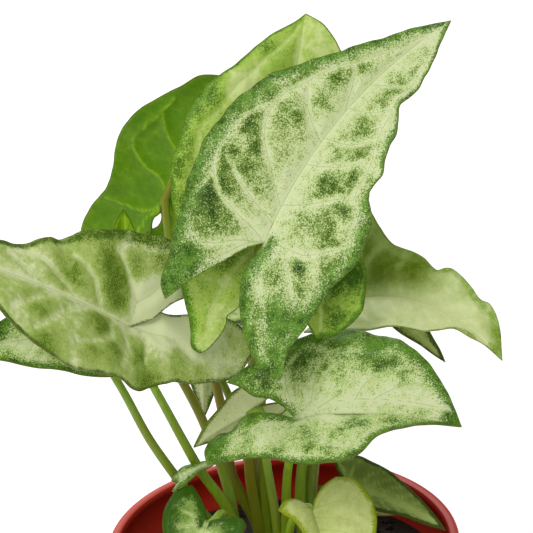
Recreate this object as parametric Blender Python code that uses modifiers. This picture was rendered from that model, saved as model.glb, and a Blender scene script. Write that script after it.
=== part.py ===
"""Potted syngonium: a red plastic nursery pot, its potting mix, and a clump of arrowhead leaves.

The frame is +Z up, with the origin at the centre of the pot's flat underside. Front is -Y.
Plant sizes are in millimetres and are turned to metres where a mesh is made.

A blade lies in its own frame: along runs from the junction, where the stalk meets the blade,
to the tip, and across runs out from the midrib on either half. "left" and "right" are as seen
on the upper face with the tip up. An outline goes from the tip of the basal lobe round the
margin to the blade's tip, as (across, along, lift), where lift is the height over that half.
"""

import math

import bmesh
import bpy
import numpy as np
from mathutils import Vector

MM = 0.001
GAP = 0.3  # kept between neighbouring solids, mm

POT_HEIGHT = 90.0
POT_RIM_RADIUS = 52.5
POT_BASE_RADIUS = 37.5
POT_WALL = 1.5
POT_FLOOR = 2.0
RIM_BAND = 13.0
RIM_STEP = 1.6
LIP_WIDTH = 2.9
TURNS = 48  # facets round the pot and the mix
DRAIN_HOLES = 6
DRAIN_RADIUS = 4.0
DRAIN_CIRCLE = 27.0

SOIL_TOP = 76.0
SOIL_SWELL = 1.2
SOIL_RINGS = 7
CROWN_SIDES = 12

BLADE_THICK = 0.8
STALK_TOP_RADIUS = 1.15
STALK_BASE_RADIUS = 2.1
STALK_POINTS = 13
STALK_ROOT = 2.0  # below the top of the mix
STALK_FOOT = 12.0  # upright stretch above the root
STALK_SPREAD = 1.5  # from the crown's middle, towards where the stalk leans
NECK_BACK = 2.5  # the last bend, behind and below the seat
NECK_DOWN = 2.0

CROWN_RADIUS = 4.6
CROWN_FOOT = 48.0
CROWN_HEAD = 86.0

# Rows along a lobe, rows along the midrib and columns across a half
LARGE_GRID = (5, 12, 3)
SMALL_GRID = (3, 7, 2)

CROWNS = {
    "shoot_front": (0.5, -8.0),
    "shoot_left": (-13.0, -1.0),
    "shoot_right": (6.5, 2.5),
    "shoot_back": (-5.5, 9.5),
}

# A plain arrowhead half of width 1 and length 1, for the small and the hidden leaves
ARROW_EDGE = [(0.62, -0.44), (0.90, -0.32), (1.0, -0.10), (0.94, 0.14), (0.72, 0.42), (0.42, 0.70),
              (0.15, 0.91)]
ARROW_NOTCH = [(0.34, -0.30), (0.10, -0.13)]


def plain_blade(junction, tip, face, widths, kind="mid_green", lobes=1.0, fold=(12, 12), arch=1.0, seat=1.6):
    """A small arrowhead blade, with its halves' widths and how long its lobes are for its size."""
    length = math.dist(junction, tip)
    design = dict(junction=junction, tip=tip, face=face, kind=kind, grid=SMALL_GRID, fold=fold, bow=0,
                  arch=arch, cup=0.8, ruffle=(0.4, 3.0, 0.0), seat=seat)
    for name, width in zip(("left", "right"), widths):
        for part, shape in ((name, ARROW_EDGE), (name + "_notch", ARROW_NOTCH)):
            design[part] = [(x * width, y * length * (lobes if y < 0 else 1), 0) for x, y in shape]
    return design


BLADES = {
    "blade_front": dict(
        junction=(-1.5, -20, 195.5), tip=(52.5, 2, 249.5), face=(0, -0.93, 0.35), kind="cream_green",
        fold=(10, 10), bow=-6, arch=0, cup=1.0, ruffle=(0.4, 5.0, 0.5), seat=1.5,
        left=[(20, -29, 0), (22.5, -27, 0), (24, -20, 0), (26, -9, 0), (27.5, 0, 0), (28, 11, 0),
              (26, 26, 0), (22.5, 36.5, 0), (15.5, 48.5, 0), (8, 63, 0), (3, 74, 0)],
        left_notch=[(13.5, -17.5, 0), (8.5, -10.5, 0), (4, -4, 0)],
        right=[(20, -26, 0), (19, -19, 0), (21, -8.5, 0), (23, 2, 0), (25.5, 9, 0), (26, 17, 1),
               (24.5, 22.5, 2), (19.5, 29.5, 5), (19.5, 34.5, 7), (17, 40.5, 7), (14.5, 47, 7),
               (10.5, 53, 6), (10.5, 58, 4), (5.5, 70, 2)],
        right_notch=[(15, -27, 0), (9.5, -25.5, 0), (4.5, -22, 0), (-1, -14, 0), (-2, -9, 0), (-1, -4, 0)],
    ),
    "blade_behind": dict(
        junction=(-0.5, -10, 192), tip=(13, 8, 251.5), face=(0, -0.96, 0.28), kind="light_green",
        fold=(8, 8), bow=0, arch=0, cup=1.5, ruffle=(0.6, 4.0, 1.2), seat=1.4,
        left=[(13.5, -34, 0), (17.5, -28, 0), (20.5, -20, 0), (24, -9, 0), (26, 0.5, 0), (29, 10, 0),
              (30, 15, 0), (29, 24, 0), (26.5, 35, 0), (21, 43, 0), (16, 48, 0), (9, 56, 0), (2.5, 61, 0)],
        left_notch=[(10, -31, 0), (8, -22.5, 0), (4.5, -12, 0)],
        right=[(18, -24.5, 0), (23, -23, 0), (26.5, -19.5, 0), (29.5, -14, 0), (29, -6, 0), (27, 2, 0),
               (26.5, 14, 0), (22, 29, 0), (15, 47.5, 0), (11, 55.5, 0), (5.5, 61.5, 0)],
        right_notch=[(14, -20, 0), (8.5, -12.5, 0)],
    ),
    "blade_upper_left": dict(
        junction=(-29, 20, 194.5), tip=(-10.5, 4, 236), face=(0.25, 0.9, 0.3), kind="deep_green",
        fold=(10, 10), bow=0, arch=0, cup=1.0, ruffle=(0.5, 4.0, 0.0), seat=1.75,
        left=[(10, -24, 0), (13.5, -17, 0), (15.5, -7, 0), (15, 3, 0), (12.5, 14, 0), (8, 28, 0),
              (3, 41, 0)],
        left_notch=[(7, -17, 0), (2.5, -6, 0)],
        right=[(12, -37, 0), (18, -30, 0), (19, -20, 0), (17, -9, 0), (17.5, -1, 0), (19.5, 6, 0),
               (18.5, 20, 0), (13.5, 30.5, 0), (9.5, 37.5, 0), (6, 44, 0)],
        right_notch=[(6.5, -24, 0), (2, -9.5, 0)],
    ),
    "blade_left": dict(
        junction=(-40, -26, 175), tip=(-84.5, -60, 215), face=(0.66, -0.5, 0.56), kind="pale_green",
        fold=(20, 24), bow=0, arch=3, cup=1.5, ruffle=(0.5, 5.0, 0.0), seat=1.4,
        left=[(2.5, -43.5, 16), (6.5, -41.5, 9.5), (12.5, -26.5, 4.5), (16, -10.5, 0), (20, 0, -3),
              (20, 10, -3), (21.5, 20, -3), (22, 30, -4), (19.5, 41.5, -3), (15, 51.5, -1),
              (7, 61.5, 0)],
        left_notch=[(-0.5, -42.5, 16.5), (-4.5, -38, 16.5), (-6, -25, 11), (-4.5, -12.5, 6.5),
                    (-1.5, -5, 3)],
        right=[(20, -25.5, 5), (24.5, -16.5, 5.5), (27, -8, 3.5), (25, 6, -0.5), (21, 19.5, -2.5),
               (18, 25.5, -3.5), (14, 30.5, -4.5), (13, 36.5, -4), (8.5, 43.5, -3.5),
               (8, 51, -3), (5, 61.5, -0.5)],
        right_notch=[(14.5, -16, 3.5), (10, -10, 2.5), (4.5, -4.5, 1)],
    ),
    "blade_right": dict(
        junction=(23, 10, 163), tip=(64.5, -12, 152), face=(-0.35, -0.6, 0.7), kind="light_green",
        fold=(22, 22), bow=-5, arch=9, cup=1.0, ruffle=(0.4, 4.0, 0.0), seat=1.75,
        left=[(24, -22, 0), (31.5, -18.5, 0), (35.5, -14.5, 0), (34, -8, 0), (27, -2.5, 0), (21, 3, 0),
              (16, 7.5, 0), (14, 13.5, 0), (12, 19.5, 0), (11.5, 25, 0), (12, 31, 0), (10.5, 37, 0),
              (8.5, 42, 0), (4.5, 45.5, 0)],
        left_notch=[(14, -14, 0), (5, -6, 0)],
        right=[(10, -10, 0), (12.5, -2, 0), (14, 6, 0), (13.5, 11.5, 0), (11.5, 16.5, 0), (10.5, 21.5, 0),
               (8.5, 27, 0), (6, 30.5, 0), (3, 34, 0), (2, 38.5, 0), (1, 41.5, 0), (0.5, 44.5, 0)],
        right_notch=[(6, -7, 0), (2, -3, 0)],
    ),
    "blade_lower_right": dict(
        junction=(5, -26, 144), tip=(50, -44, 148.5), face=(0, -0.62, 0.78), kind="pale_green",
        fold=(12, 20), bow=0, arch=5, cup=1.0, ruffle=(0.4, 5.0, 0.0), seat=1.2,
        left=[(10.5, -21, 12), (13, -18.5, 10.5), (16.5, -13.5, 8), (21.5, -5.5, 4), (24, 1.5, 0.5),
              (25.5, 11.5, -3), (23.5, 22.5, -3), (21.5, 30.5, -2), (15, 39, -1), (9, 44, 0.5),
              (5, 46.5, 1.5)],
        left_notch=[(9.5, -17.5, 9), (6.5, -12.5, 6.5), (6, -8.5, 4), (3.5, -4, 2.5)],
        right=[(16, -24.5, 2), (16, -18.5, 2), (16, -4.5, 1.5), (18, 7.5, -1), (17.5, 14, -1),
               (17, 20.5, -1.5), (14.5, 24.5, -0.5), (10, 27.5, 1), (5.5, 34.5, 1.5), (2, 43.5, 1.5)],
        right_notch=[(13, -26, 4.5), (7, -22.5, 5), (6.5, -20, 4.5), (2, -15, 6), (0.5, -7.5, 4)],
    ),
    "blade_left_low": plain_blade((-52, -14, 167.5), (-86, -30, 171.5), (0.05, -0.62, 0.78), (16, 14),
                                  kind="pale_green", lobes=0.45, arch=2),
    "blade_right_back": plain_blade((28, 26, 158.5), (51, 22, 135.5), (0.2, 0.9, 0.25), (7, 8),
                                    kind="olive", lobes=0.5, seat=1.15),
    "blade_pale_low": plain_blade((-5.5, -4, 137), (-24.5, -12, 129), (-0.1, 0.9, 0.3), (9, 9),
                                  kind="pale_green"),
    "blade_hanging": plain_blade((-21, 24, 144), (-22, 20, 121.5), (0, 0.9, 0.3), (7, 7),
                                 kind="deep_green"),
    "blade_small_left": plain_blade((-41.5, 1, 181.5), (-40.5, 0, 199.5), (0.2, -0.9, 0.2), (6.5, 6.5),
                                    kind="light_green", lobes=0.8, seat=1.95),
    "blade_pot_left": plain_blade((-21.5, -26, 112), (-28.5, -42, 96.5), (-0.15, -0.35, 0.93), (13, 12),
                                  kind="deep_green"),
    "blade_new": plain_blade((8.5, -26, 114.5), (15.5, -46, 92.5), (0, -0.35, 0.93), (14, 15),
                             kind="light_green", fold=(25, 20)),
    "blade_pot_right": plain_blade((20, 2, 106.5), (47.5, -12, 97.5), (0.15, -0.45, 0.88), (10, 8),
                                   kind="olive", lobes=0.55, arch=2),
    "blade_husk": plain_blade((22, 3, 98), (33.5, 0, 96.5), (0, -0.5, 0.85), (4, 4), kind="husk"),
    "blade_rim_left": plain_blade((-29, -13.5, 119), (-17, -15.5, 126), (0.3, -0.3, 0.9), (3.5, 3.5),
                                  kind="pale_green", lobes=0.5, seat=1.85),
    "blade_back_top": plain_blade((3, 42, 175), (7, 68, 154), (0, 0.55, 0.83), (18, 18), arch=3),
    "blade_back_left": plain_blade((-7, 43, 144), (-10, 70, 128), (0, 0.4, 0.9), (13, 13), arch=3),
    "blade_back_right": plain_blade((21, 43, 143), (33, 68, 129), (0.1, 0.4, 0.9), (13, 13), arch=3),
    "blade_back_low": plain_blade((7, 39, 110), (13, 67, 94), (0.1, 0.5, 0.85), (12, 12), arch=2),
}

# Each blade's crown, and the places that its stalk passes on the way up
STALKS = {
    "blade_front": ("shoot_back", [(-9, 7, 110), (-8, 5, 133), (-5, -2, 160), (-2.5, -13, 183)]),
    "blade_behind": ("shoot_back", [(-5, 9, 110), (-4.5, 8, 133), (-1, 2, 165)]),
    "blade_upper_left": ("shoot_back", [(-14.5, 11, 107), (-16, 14, 124), (-23, 18, 158), (-29, 18, 182)]),
    "blade_left": ("shoot_left", [(-14.5, -3, 97), (-24, -9, 121.5), (-34, -18, 151)]),
    "blade_left_low": ("shoot_left", [(-21, -4, 97), (-28, -7, 112.5), (-37, -10, 131), (-44.5, -13, 151)]),
    "blade_right": ("shoot_right", [(6, 4, 108), (13, 8, 135), (19, 10, 151)]),
    "blade_right_back": ("shoot_right", [(9, 8, 108), (17, 15, 135), (24, 18, 150)]),
    "blade_lower_right": ("shoot_front", [(1, -10, 100), (2, -15, 120), (4, -21.5, 136)]),
    "blade_pale_low": ("shoot_front", [(-2, -7.5, 103), (-4, -5.5, 122)]),
    "blade_hanging": ("shoot_back", [(-9, 14, 106), (-14, 20, 128)]),
    "blade_small_left": ("shoot_left", [(-15, 2, 103), (-22, 6, 128), (-34, 6, 156), (-41, 4, 174)]),
    "blade_pot_left": ("shoot_left", [(-14.5, -7, 97), (-17.5, -14, 108)]),
    "blade_new": ("shoot_front", [(1.5, -12.5, 98), (4.5, -17.5, 109)]),
    "blade_pot_right": ("shoot_right", [(10.5, 1.5, 96)]),
    "blade_husk": ("shoot_right", [(11, 3, 90)]),
    "blade_rim_left": ("shoot_left", [(-18, -6, 96), (-25, -10, 109)]),
    "blade_back_top": ("shoot_back", [(-6, 14, 112), (-6, 22, 145), (-1, 34, 167)]),
    "blade_back_left": ("shoot_back", [(-5, 18, 108), (-7, 29, 130)]),
    "blade_back_right": ("shoot_right", [(10, 10, 106), (16, 26, 128)]),
    "blade_back_low": ("shoot_right", [(8, 12, 98), (7.5, 24, 107)]),
}


def remove_everything():
    for obj in list(bpy.data.objects):
        bpy.data.objects.remove(obj, do_unlink=True)


def unit(v):
    v = np.array(v, float)
    return v / np.linalg.norm(v)


def smooth_line(points, places):
    """Points of a smooth curve through the given ones, at places from 0 to 1 along its chords."""
    points = np.array(points, float)
    steps = np.linalg.norm(np.diff(points, axis=0), axis=1)
    knots = np.concatenate([[0.0], np.cumsum(steps)]) / steps.sum()
    slopes = np.gradient(points, knots, axis=0)
    i = np.clip(np.searchsorted(knots, places, side="right") - 1, 0, len(knots) - 2)
    width = (knots[i + 1] - knots[i])[:, None]
    t = (places - knots[i])[:, None] / width
    start = (2 * t**3 - 3 * t**2 + 1) * points[i] + (t**3 - 2 * t**2 + t) * width * slopes[i]
    end = (3 * t**2 - 2 * t**3) * points[i + 1] + (t**3 - t**2) * width * slopes[i + 1]
    return start + end, knots


class Blade:
    """One blade's frame and the two rails of each half, between which its surface is ruled."""

    def __init__(self, design):
        self.design = design
        self.junction = np.array(design["junction"], float)
        reach = np.array(design["tip"], float) - self.junction
        self.length = np.linalg.norm(reach)
        self.up = reach / self.length
        face = np.array(design["face"], float)
        self.normal = unit(face - (face @ self.up) * self.up)
        self.side = np.cross(self.up, self.normal)

    def place(self, hand, across, along, lift):
        """World places, in mm, of points on the right half (hand 1) or the left (hand -1)."""
        fold = math.radians(self.design["fold"][0 if hand < 0 else 1])
        out = hand * math.cos(fold) * self.side + math.sin(fold) * self.normal
        over = -hand * math.sin(fold) * self.side + math.cos(fold) * self.normal
        s = along / self.length
        rise = np.where(s < 0, 4 * s, 4 * s * (1 - s))
        shift = self.design["bow"] * self.side + self.design["arch"] * self.normal
        return (self.junction + np.outer(along, self.up) + np.outer(rise, shift)
                + np.outer(across, out) + np.outer(lift, over))

    def rails(self, hand, lobe_rows, main_rows):
        """The inner edge (notch, then midrib) and the margin, row by row from lobe tip to tip."""
        name = "left" if hand < 0 else "right"
        outline = self.design[name] + [(0, self.length, 0)]
        notch = [outline[0]] + self.design[name + "_notch"] + [(0, 0, 0)]
        abreast = int(np.argmin([abs(p[1]) for p in outline[:-1]]))
        lobe = np.linspace(0, 1, lobe_rows + 1)
        main = np.linspace(0, 1, main_rows + 1)[1:]
        _, knots = smooth_line(outline, np.zeros(1))
        split = knots[abreast]
        margin, _ = smooth_line(outline, np.concatenate([lobe * split, split + main * (1 - split)]))
        inner, _ = smooth_line(notch, lobe)
        midrib = np.outer(main, (0, self.length, 0))
        return np.concatenate([inner, midrib]), margin

    def half(self, hand, lobe_rows, main_rows, columns):
        """World places, rows by columns, from the inner edge out to the margin."""
        inner, margin = self.rails(hand, lobe_rows, main_rows)
        rows = len(inner)
        b = np.linspace(0, 1, columns + 1)[None, :, None]
        a = np.linspace(0, 1, rows)[:, None]
        flat = inner[:, None, :] * (1 - b) + margin[:, None, :] * b
        size, waves, phase = self.design["ruffle"]
        b = b[:, :, 0]
        breadth = np.linalg.norm(margin - inner, axis=1)[:, None] / self.length
        lift = self.design["cup"] * 4 * b * (1 - b) * breadth * 2
        lift = lift + size * b**2 * np.sin(2 * math.pi * waves * a + phase + hand) * np.sin(math.pi * a)
        flat[:, :, 2] += lift
        points = flat.reshape(-1, 3)
        return self.place(hand, points[:, 0], points[:, 1], points[:, 2]).reshape(rows, columns + 1, 3)


# Base colour (linear) and roughness
FINISHES = {
    "cream_green": ((0.48, 0.62, 0.30), 0.42),
    "light_green": ((0.36, 0.54, 0.17), 0.42),
    "pale_green": ((0.42, 0.55, 0.24), 0.42),
    "mid_green": ((0.21, 0.37, 0.08), 0.42),
    "deep_green": ((0.10, 0.30, 0.02), 0.40),
    "olive": ((0.12, 0.17, 0.05), 0.45),
    "husk": ((0.60, 0.53, 0.36), 0.75),
    "stalk_green": ((0.12, 0.20, 0.02), 0.40),
    "terracotta_plastic": ((0.42, 0.05, 0.03), 0.45),
    "potting_mix": ((0.018, 0.010, 0.008), 0.95),
}


def material(name, finish):
    colour, roughness = FINISHES[finish]
    mat = bpy.data.materials.new(f"{name}_{finish}")
    mat.use_nodes = True
    shader = mat.node_tree.nodes["Principled BSDF"]
    shader.inputs["Base Color"].default_value = (*colour, 1.0)
    shader.inputs["Roughness"].default_value = roughness
    shader.inputs["Metallic"].default_value = 0.0
    return mat


def new_object(name, mesh, mat, collection):
    obj = bpy.data.objects.new(name, mesh)
    if mat is not None:
        obj.data.materials.append(mat)
    collection.objects.link(obj)
    return obj


def finished_mesh(obj):
    """A new mesh of the object with its modifiers applied."""
    depsgraph = bpy.context.evaluated_depsgraph_get()
    depsgraph.update()
    return bpy.data.meshes.new_from_object(obj.evaluated_get(depsgraph))


def turned(name, profile, steps, mat, collection):
    """An axis-to-axis profile of (radius, z), in mm, turned round Z into one closed body."""
    mesh = bpy.data.meshes.new(name)
    points = [(r * MM, 0, z * MM) for r, z in profile]
    mesh.from_pydata(points, [(i, i + 1) for i in range(len(points) - 1)], [])
    obj = new_object(name, mesh, mat, collection)
    screw = obj.modifiers.new("turn", "SCREW")
    screw.steps = steps
    screw.render_steps = steps
    screw.use_merge_vertices = True
    screw.merge_threshold = 1e-5
    return obj


def cut_hole(obj, name, x, y, radius, low, high, sides, cutters):
    """A straight upright hole in an object, from low to high."""
    bm = bmesh.new()
    bmesh.ops.create_cone(bm, cap_ends=True, segments=sides, radius1=radius * MM, radius2=radius * MM,
                          depth=(high - low) * MM)
    bmesh.ops.translate(bm, verts=bm.verts, vec=(x * MM, y * MM, (low + high) / 2 * MM))
    mesh = bpy.data.meshes.new(name)
    bm.to_mesh(mesh)
    bm.free()
    cutter = new_object(name, mesh, None, cutters)
    cutter.hide_render = True
    cutter.display_type = "WIRE"
    cut = obj.modifiers.new(name, "BOOLEAN")
    cut.operation = "DIFFERENCE"
    cut.object = cutter


def add_blade(name, design, collection):
    """A thin solid: both halves as grids shaped to the blade, joined at the midrib and thickened."""
    blade = Blade(design)
    lobe_rows, main_rows, columns = design.get("grid", LARGE_GRID)
    bm = bmesh.new()
    for hand in (-1, 1):
        places = blade.half(hand, lobe_rows, main_rows, columns) * MM
        rows = places.shape[0] - 1
        made = bmesh.ops.create_grid(bm, x_segments=columns, y_segments=rows, size=1.0)
        for vert in made["verts"]:
            column = round((vert.co.x + 1) / 2 * columns)
            row = round((vert.co.y + 1) / 2 * rows)
            vert.co = Vector(places[row, column])
    bmesh.ops.remove_doubles(bm, verts=bm.verts, dist=2e-5)
    bmesh.ops.recalc_face_normals(bm, faces=bm.faces)
    bmesh.ops.triangulate(bm, faces=bm.faces, quad_method="SHORT_EDGE")
    mesh = bpy.data.meshes.new(name)
    bm.to_mesh(mesh)
    bm.free()
    mesh.shade_smooth()
    obj = new_object(name, mesh, material(name, design["kind"]), collection)
    thick = obj.modifiers.new("thickness", "SOLIDIFY")
    thick.thickness = BLADE_THICK * MM
    thick.offset = 0.0
    return obj


def stalk_mesh(name, blade_name):
    """A tapering stalk from its crown up to just under its blade's junction."""
    crown, route = STALKS[blade_name]
    x, y = CROWNS[crown]
    blade = Blade(BLADES[blade_name])
    seat = blade.junction - blade.normal * blade.design["seat"]
    neck = seat - blade.normal * NECK_BACK - blade.up * NECK_DOWN
    root = np.array([x, y, SOIL_TOP - STALK_ROOT])
    root[:2] += np.clip(np.array(route[0][:2]) - root[:2], -STALK_SPREAD, STALK_SPREAD)
    line = [root, root + (0, 0, STALK_FOOT), *route, neck, seat]
    points, _ = smooth_line(line, np.linspace(0, 1, STALK_POINTS))
    data = bpy.data.curves.new(name, "CURVE")
    data.dimensions = "3D"
    data.bevel_depth = MM
    data.bevel_resolution = 2
    data.use_fill_caps = True
    spline = data.splines.new("POLY")
    spline.points.add(len(points) - 1)
    for i, place in enumerate(points):
        left = 1 - i / (len(points) - 1)
        spline.points[i].co = (*(place * MM), 1.0)
        spline.points[i].radius = STALK_TOP_RADIUS + (STALK_BASE_RADIUS - STALK_TOP_RADIUS) * left**2
    curve = bpy.data.objects.new(name, data)
    bpy.context.scene.collection.objects.link(curve)
    mesh = finished_mesh(curve)
    bpy.data.objects.remove(curve, do_unlink=True)
    bm = bmesh.new()
    bm.from_mesh(mesh)
    bmesh.ops.remove_doubles(bm, verts=bm.verts, dist=1e-6)
    bm.to_mesh(mesh)
    bm.free()
    return mesh


def add_shoot(name, collection):
    """One crown, a short upright stub with rounded ends, with all its stalks, made one body."""
    x, y = CROWNS[name]
    r = CROWN_RADIUS
    profile = [
        (0, CROWN_HEAD), (r * 0.55, CROWN_HEAD - 1.5), (r, CROWN_HEAD - 8),
        (r, CROWN_FOOT + 5), (r * 0.6, CROWN_FOOT), (0, CROWN_FOOT),
    ]
    crown = turned(name + "_crown", profile, CROWN_SIDES, None, collection)
    crown.location = (x * MM, y * MM, 0)
    pieces = bpy.data.collections.new(name + "_stalks")
    bpy.context.scene.collection.children.link(pieces)
    for blade_name, (shoot, _) in STALKS.items():
        if shoot == name:
            new_object(name + "_" + blade_name, stalk_mesh(name + blade_name, blade_name), None, pieces)
    union = crown.modifiers.new("join", "BOOLEAN")
    union.operation = "UNION"
    union.operand_type = "COLLECTION"
    union.collection = pieces
    mesh = finished_mesh(crown)
    mesh.transform(crown.matrix_world)
    mesh.materials.clear()
    mesh.shade_smooth()
    for obj in [crown] + list(pieces.objects):
        bpy.data.objects.remove(obj, do_unlink=True)
    bpy.data.collections.remove(pieces)
    new_object(name, mesh, material(name, "stalk_green"), collection)


def inner_radius(z):
    """The pot's inner radius, in mm, up its tapering wall."""
    low = POT_BASE_RADIUS - POT_WALL + 0.3
    high = POT_RIM_RADIUS - RIM_STEP - POT_WALL
    return low + (high - low) * (z - POT_FLOOR) / (POT_HEIGHT - RIM_BAND - POT_FLOOR)


def add_pot(collection, cutters):
    """The pot: a tapering thin wall, a thicker band and lip at the rim, and a floor with drain holes."""
    rim = POT_RIM_RADIUS
    band = POT_HEIGHT - RIM_BAND
    lip = rim - LIP_WIDTH
    profile = [
        (0, POT_FLOOR), (inner_radius(POT_FLOOR), POT_FLOOR), (inner_radius(band), band),
        (rim - POT_WALL, band + 2), (rim - POT_WALL, POT_HEIGHT - 4), (lip, POT_HEIGHT - 2.2),
        (lip + 0.3, POT_HEIGHT - 0.3), (rim - 0.8, POT_HEIGHT), (rim, POT_HEIGHT - 0.8), (rim, band + 0.8),
        (rim - RIM_STEP, band), (POT_BASE_RADIUS + 0.6, 1.5), (POT_BASE_RADIUS, 0), (0, 0),
    ]
    pot = turned("pot", profile, TURNS, material("pot", "terracotta_plastic"), collection)
    for i in range(DRAIN_HOLES):
        angle = math.tau * i / DRAIN_HOLES
        x, y = DRAIN_CIRCLE * math.cos(angle), DRAIN_CIRCLE * math.sin(angle)
        cut_hole(pot, f"drain_hole_{i + 1}", x, y, DRAIN_RADIUS, -1, POT_FLOOR + 1, 16, cutters)


def add_mix(collection, cutters):
    """The potting mix: it fills the pot, swells unevenly on top, and has a hole for each crown."""
    edge = inner_radius(SOIL_TOP) - GAP
    floor = POT_FLOOR + GAP
    profile = [(edge * ring / SOIL_RINGS, SOIL_TOP) for ring in range(SOIL_RINGS + 1)]
    profile += [(inner_radius(floor) - GAP, floor), (0, floor)]
    helper = turned("potting_mix_plain", profile, TURNS, None, collection)
    mesh = finished_mesh(helper)
    bpy.data.objects.remove(helper, do_unlink=True)
    for vert in mesh.vertices:
        x, y, z = vert.co / MM
        if z > SOIL_TOP - 1:
            inward = 1 - (math.hypot(x, y) / edge) ** 4
            wave = math.sin(0.21 * x + 1.3 * math.sin(0.13 * y)) * math.cos(0.17 * y)
            vert.co.z += SOIL_SWELL * inward * wave * MM
    mix = new_object("potting_mix", mesh, material("potting_mix", "potting_mix"), collection)
    radius = CROWN_RADIUS + GAP
    for name, (x, y) in CROWNS.items():
        cut_hole(mix, name + "_hole", x, y, radius, CROWN_FOOT - GAP, SOIL_TOP + 5, CROWN_SIDES, cutters)


def build():
    remove_everything()
    parts = bpy.data.collections.new("potted_syngonium")
    cutters = bpy.data.collections.new("cutters")
    for collection in (parts, cutters):
        bpy.context.scene.collection.children.link(collection)
    add_pot(parts, cutters)
    add_mix(parts, cutters)
    for name in CROWNS:
        add_shoot(name, parts)
    for name, design in BLADES.items():
        add_blade(name, design, parts)


build()
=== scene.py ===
"""Looks of a potted arrowhead plant: mottled leaves on long stalks in a red plastic nursery pot.

Lengths are in millimetres until a mesh is made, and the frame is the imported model's own: +Z up,
with the origin at the centre of the pot's underside and the front towards -Y.

A leaf's surface is ruled between two rails. On each half, t runs from -1 at the tip of the basal
lobe, through 0 at the junction with the stalk, to 1 at the leaf's tip, and b runs from 0 at the
midrib (or at the notch between the lobes) to 1 at the margin. Veins and patches are given as (t, b).
Outlines and notches are given as (across, along) from the junction, with a lift where they have one.
"""

import math
from functools import partial

import bpy
import numpy as np
from mathutils import Matrix, Vector


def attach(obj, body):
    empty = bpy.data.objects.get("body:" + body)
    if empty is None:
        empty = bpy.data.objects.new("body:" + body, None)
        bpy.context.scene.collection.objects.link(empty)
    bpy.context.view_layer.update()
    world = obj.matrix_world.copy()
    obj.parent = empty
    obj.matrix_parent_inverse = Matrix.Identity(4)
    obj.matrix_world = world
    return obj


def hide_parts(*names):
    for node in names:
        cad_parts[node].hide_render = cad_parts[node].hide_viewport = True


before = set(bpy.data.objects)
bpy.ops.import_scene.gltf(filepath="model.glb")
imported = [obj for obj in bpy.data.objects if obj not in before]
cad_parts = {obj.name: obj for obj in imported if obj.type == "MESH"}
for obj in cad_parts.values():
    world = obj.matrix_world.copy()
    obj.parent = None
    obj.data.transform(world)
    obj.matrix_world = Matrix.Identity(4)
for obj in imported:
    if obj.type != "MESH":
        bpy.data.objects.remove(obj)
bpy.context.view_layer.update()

MM = 0.001

# Camera, fitted to the ellipse of the pot's rim
VIEW_DISTANCE = 700.0
VIEW_ELEVATION = 24.1
VIEW_ROLL = -2.75
VIEW_TARGET = (-1.1, 0.0, 179.5)
LENS = 166.6
SENSOR = 36.0

# Stage, in metres: floor, surround, and soft lights as place, size and power
FLOOR_SIZE = 8.0
ROOM_STRENGTH = 0.5
LIGHT_AIM = (0, 0, 0.17)
LIGHTS = {
    "key_softbox": ((-0.45, -0.85, 1.25), (0.9, 0.9), 13),
    "back_softbox": ((-0.3, 1.0, 1.0), (0.9, 0.6), 11),
}

# Pot and mix
POT_HEIGHT = 90.0
POT_RIM_RADIUS = 52.5
POT_BASE_RADIUS = 37.5
POT_WALL = 1.5
POT_FLOOR = 2.0
POT_TURNS = 160
SHARP_ANGLE = 40.0
FOOT_FLARE = 0.3
RIM_BAND = 13.0
RIM_STEP = 1.6
LIP_WIDTH = 2.9
DRAIN_HOLES = 6
DRAIN_RADIUS = 4.0
DRAIN_CIRCLE = 27.0
DRAIN_SIDES = 48
SOIL_TOP = 76.0
SOIL_SWELL = 1.2
SOIL_LUMPS = 0.45
SOIL_GAP = 0.3
SOIL_TURNS = 200
SOIL_RINGS = 90
CRUMBS = 320
CRUMB_SEED = 7
CRUMB_SIZE = (0.7, 2.0)
CRUMB_MARGIN = 2.0
CRUMB_RISE = 0.15
CRUMB_TILT = 0.5
CRUMB_STRETCH = ((1.0, 0.6, 0.35), (1.7, 1.0, 0.7))

# Stalks and crowns. A stalk runs out under its midrib by (along, lift, share of its radius), in full under
# blades longer than FULL_RUN_OUT. A crown's profile is given as (height, share of its radius)
STALK_TOP_RADIUS = 1.15
STALK_BASE_RADIUS = 2.1
STALK_ROOT = 2.0
STALK_FOOT = 12.0
STALK_SPREAD = 1.5
NECK_BACK = 2.5
NECK_DOWN = 2.0
STALK_RINGS = 64
STALK_SIDES = 14
SEAM_SIDE = (0.3, 1.0, 0.1)
RUN_OUT = [(2.0, -0.9, 0.95), (5.0, -0.55, 0.75), (9.0, -0.4, 0.5), (14.0, -0.3, 0.25)]
FULL_RUN_OUT = 50.0
CROWN_RADIUS = 4.6
CROWN_PROFILE = [(48, 0.5), (48.2, 0.6), (53, 1.0), (72, 1.0), (78, 0.9), (83, 0.6), (85.5, 0.2)]
CROWN_SIDES = 20
CROWN_TONE = 0.15
USUAL_TONE = 0.3
TONE_SWING = 0.12
TONE_FALL = 0.1

# Leaf sheets: thickness, grid pitch, pucker between the veins, and ribs and veins raised underneath
LEAF_THICK = 0.5
FINE_PITCH = 0.55
LARGE_PITCH = 0.8
SMALL_PITCH = 1.0
CURVE_SLACK = 1.15
PUCKER = 0.75
PUCKER_REACH = 2.4
PUCKER_EDGE = 3.0
RIB_SWELL = 0.8
RIB_REACH = 0.75
VEIN_SWELL = 0.22
VEIN_REACH = 0.5
SWELL_EDGE = 1.5
MIDRIB_WELD = 0.02
SEAM_WELD = 0.001

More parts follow.
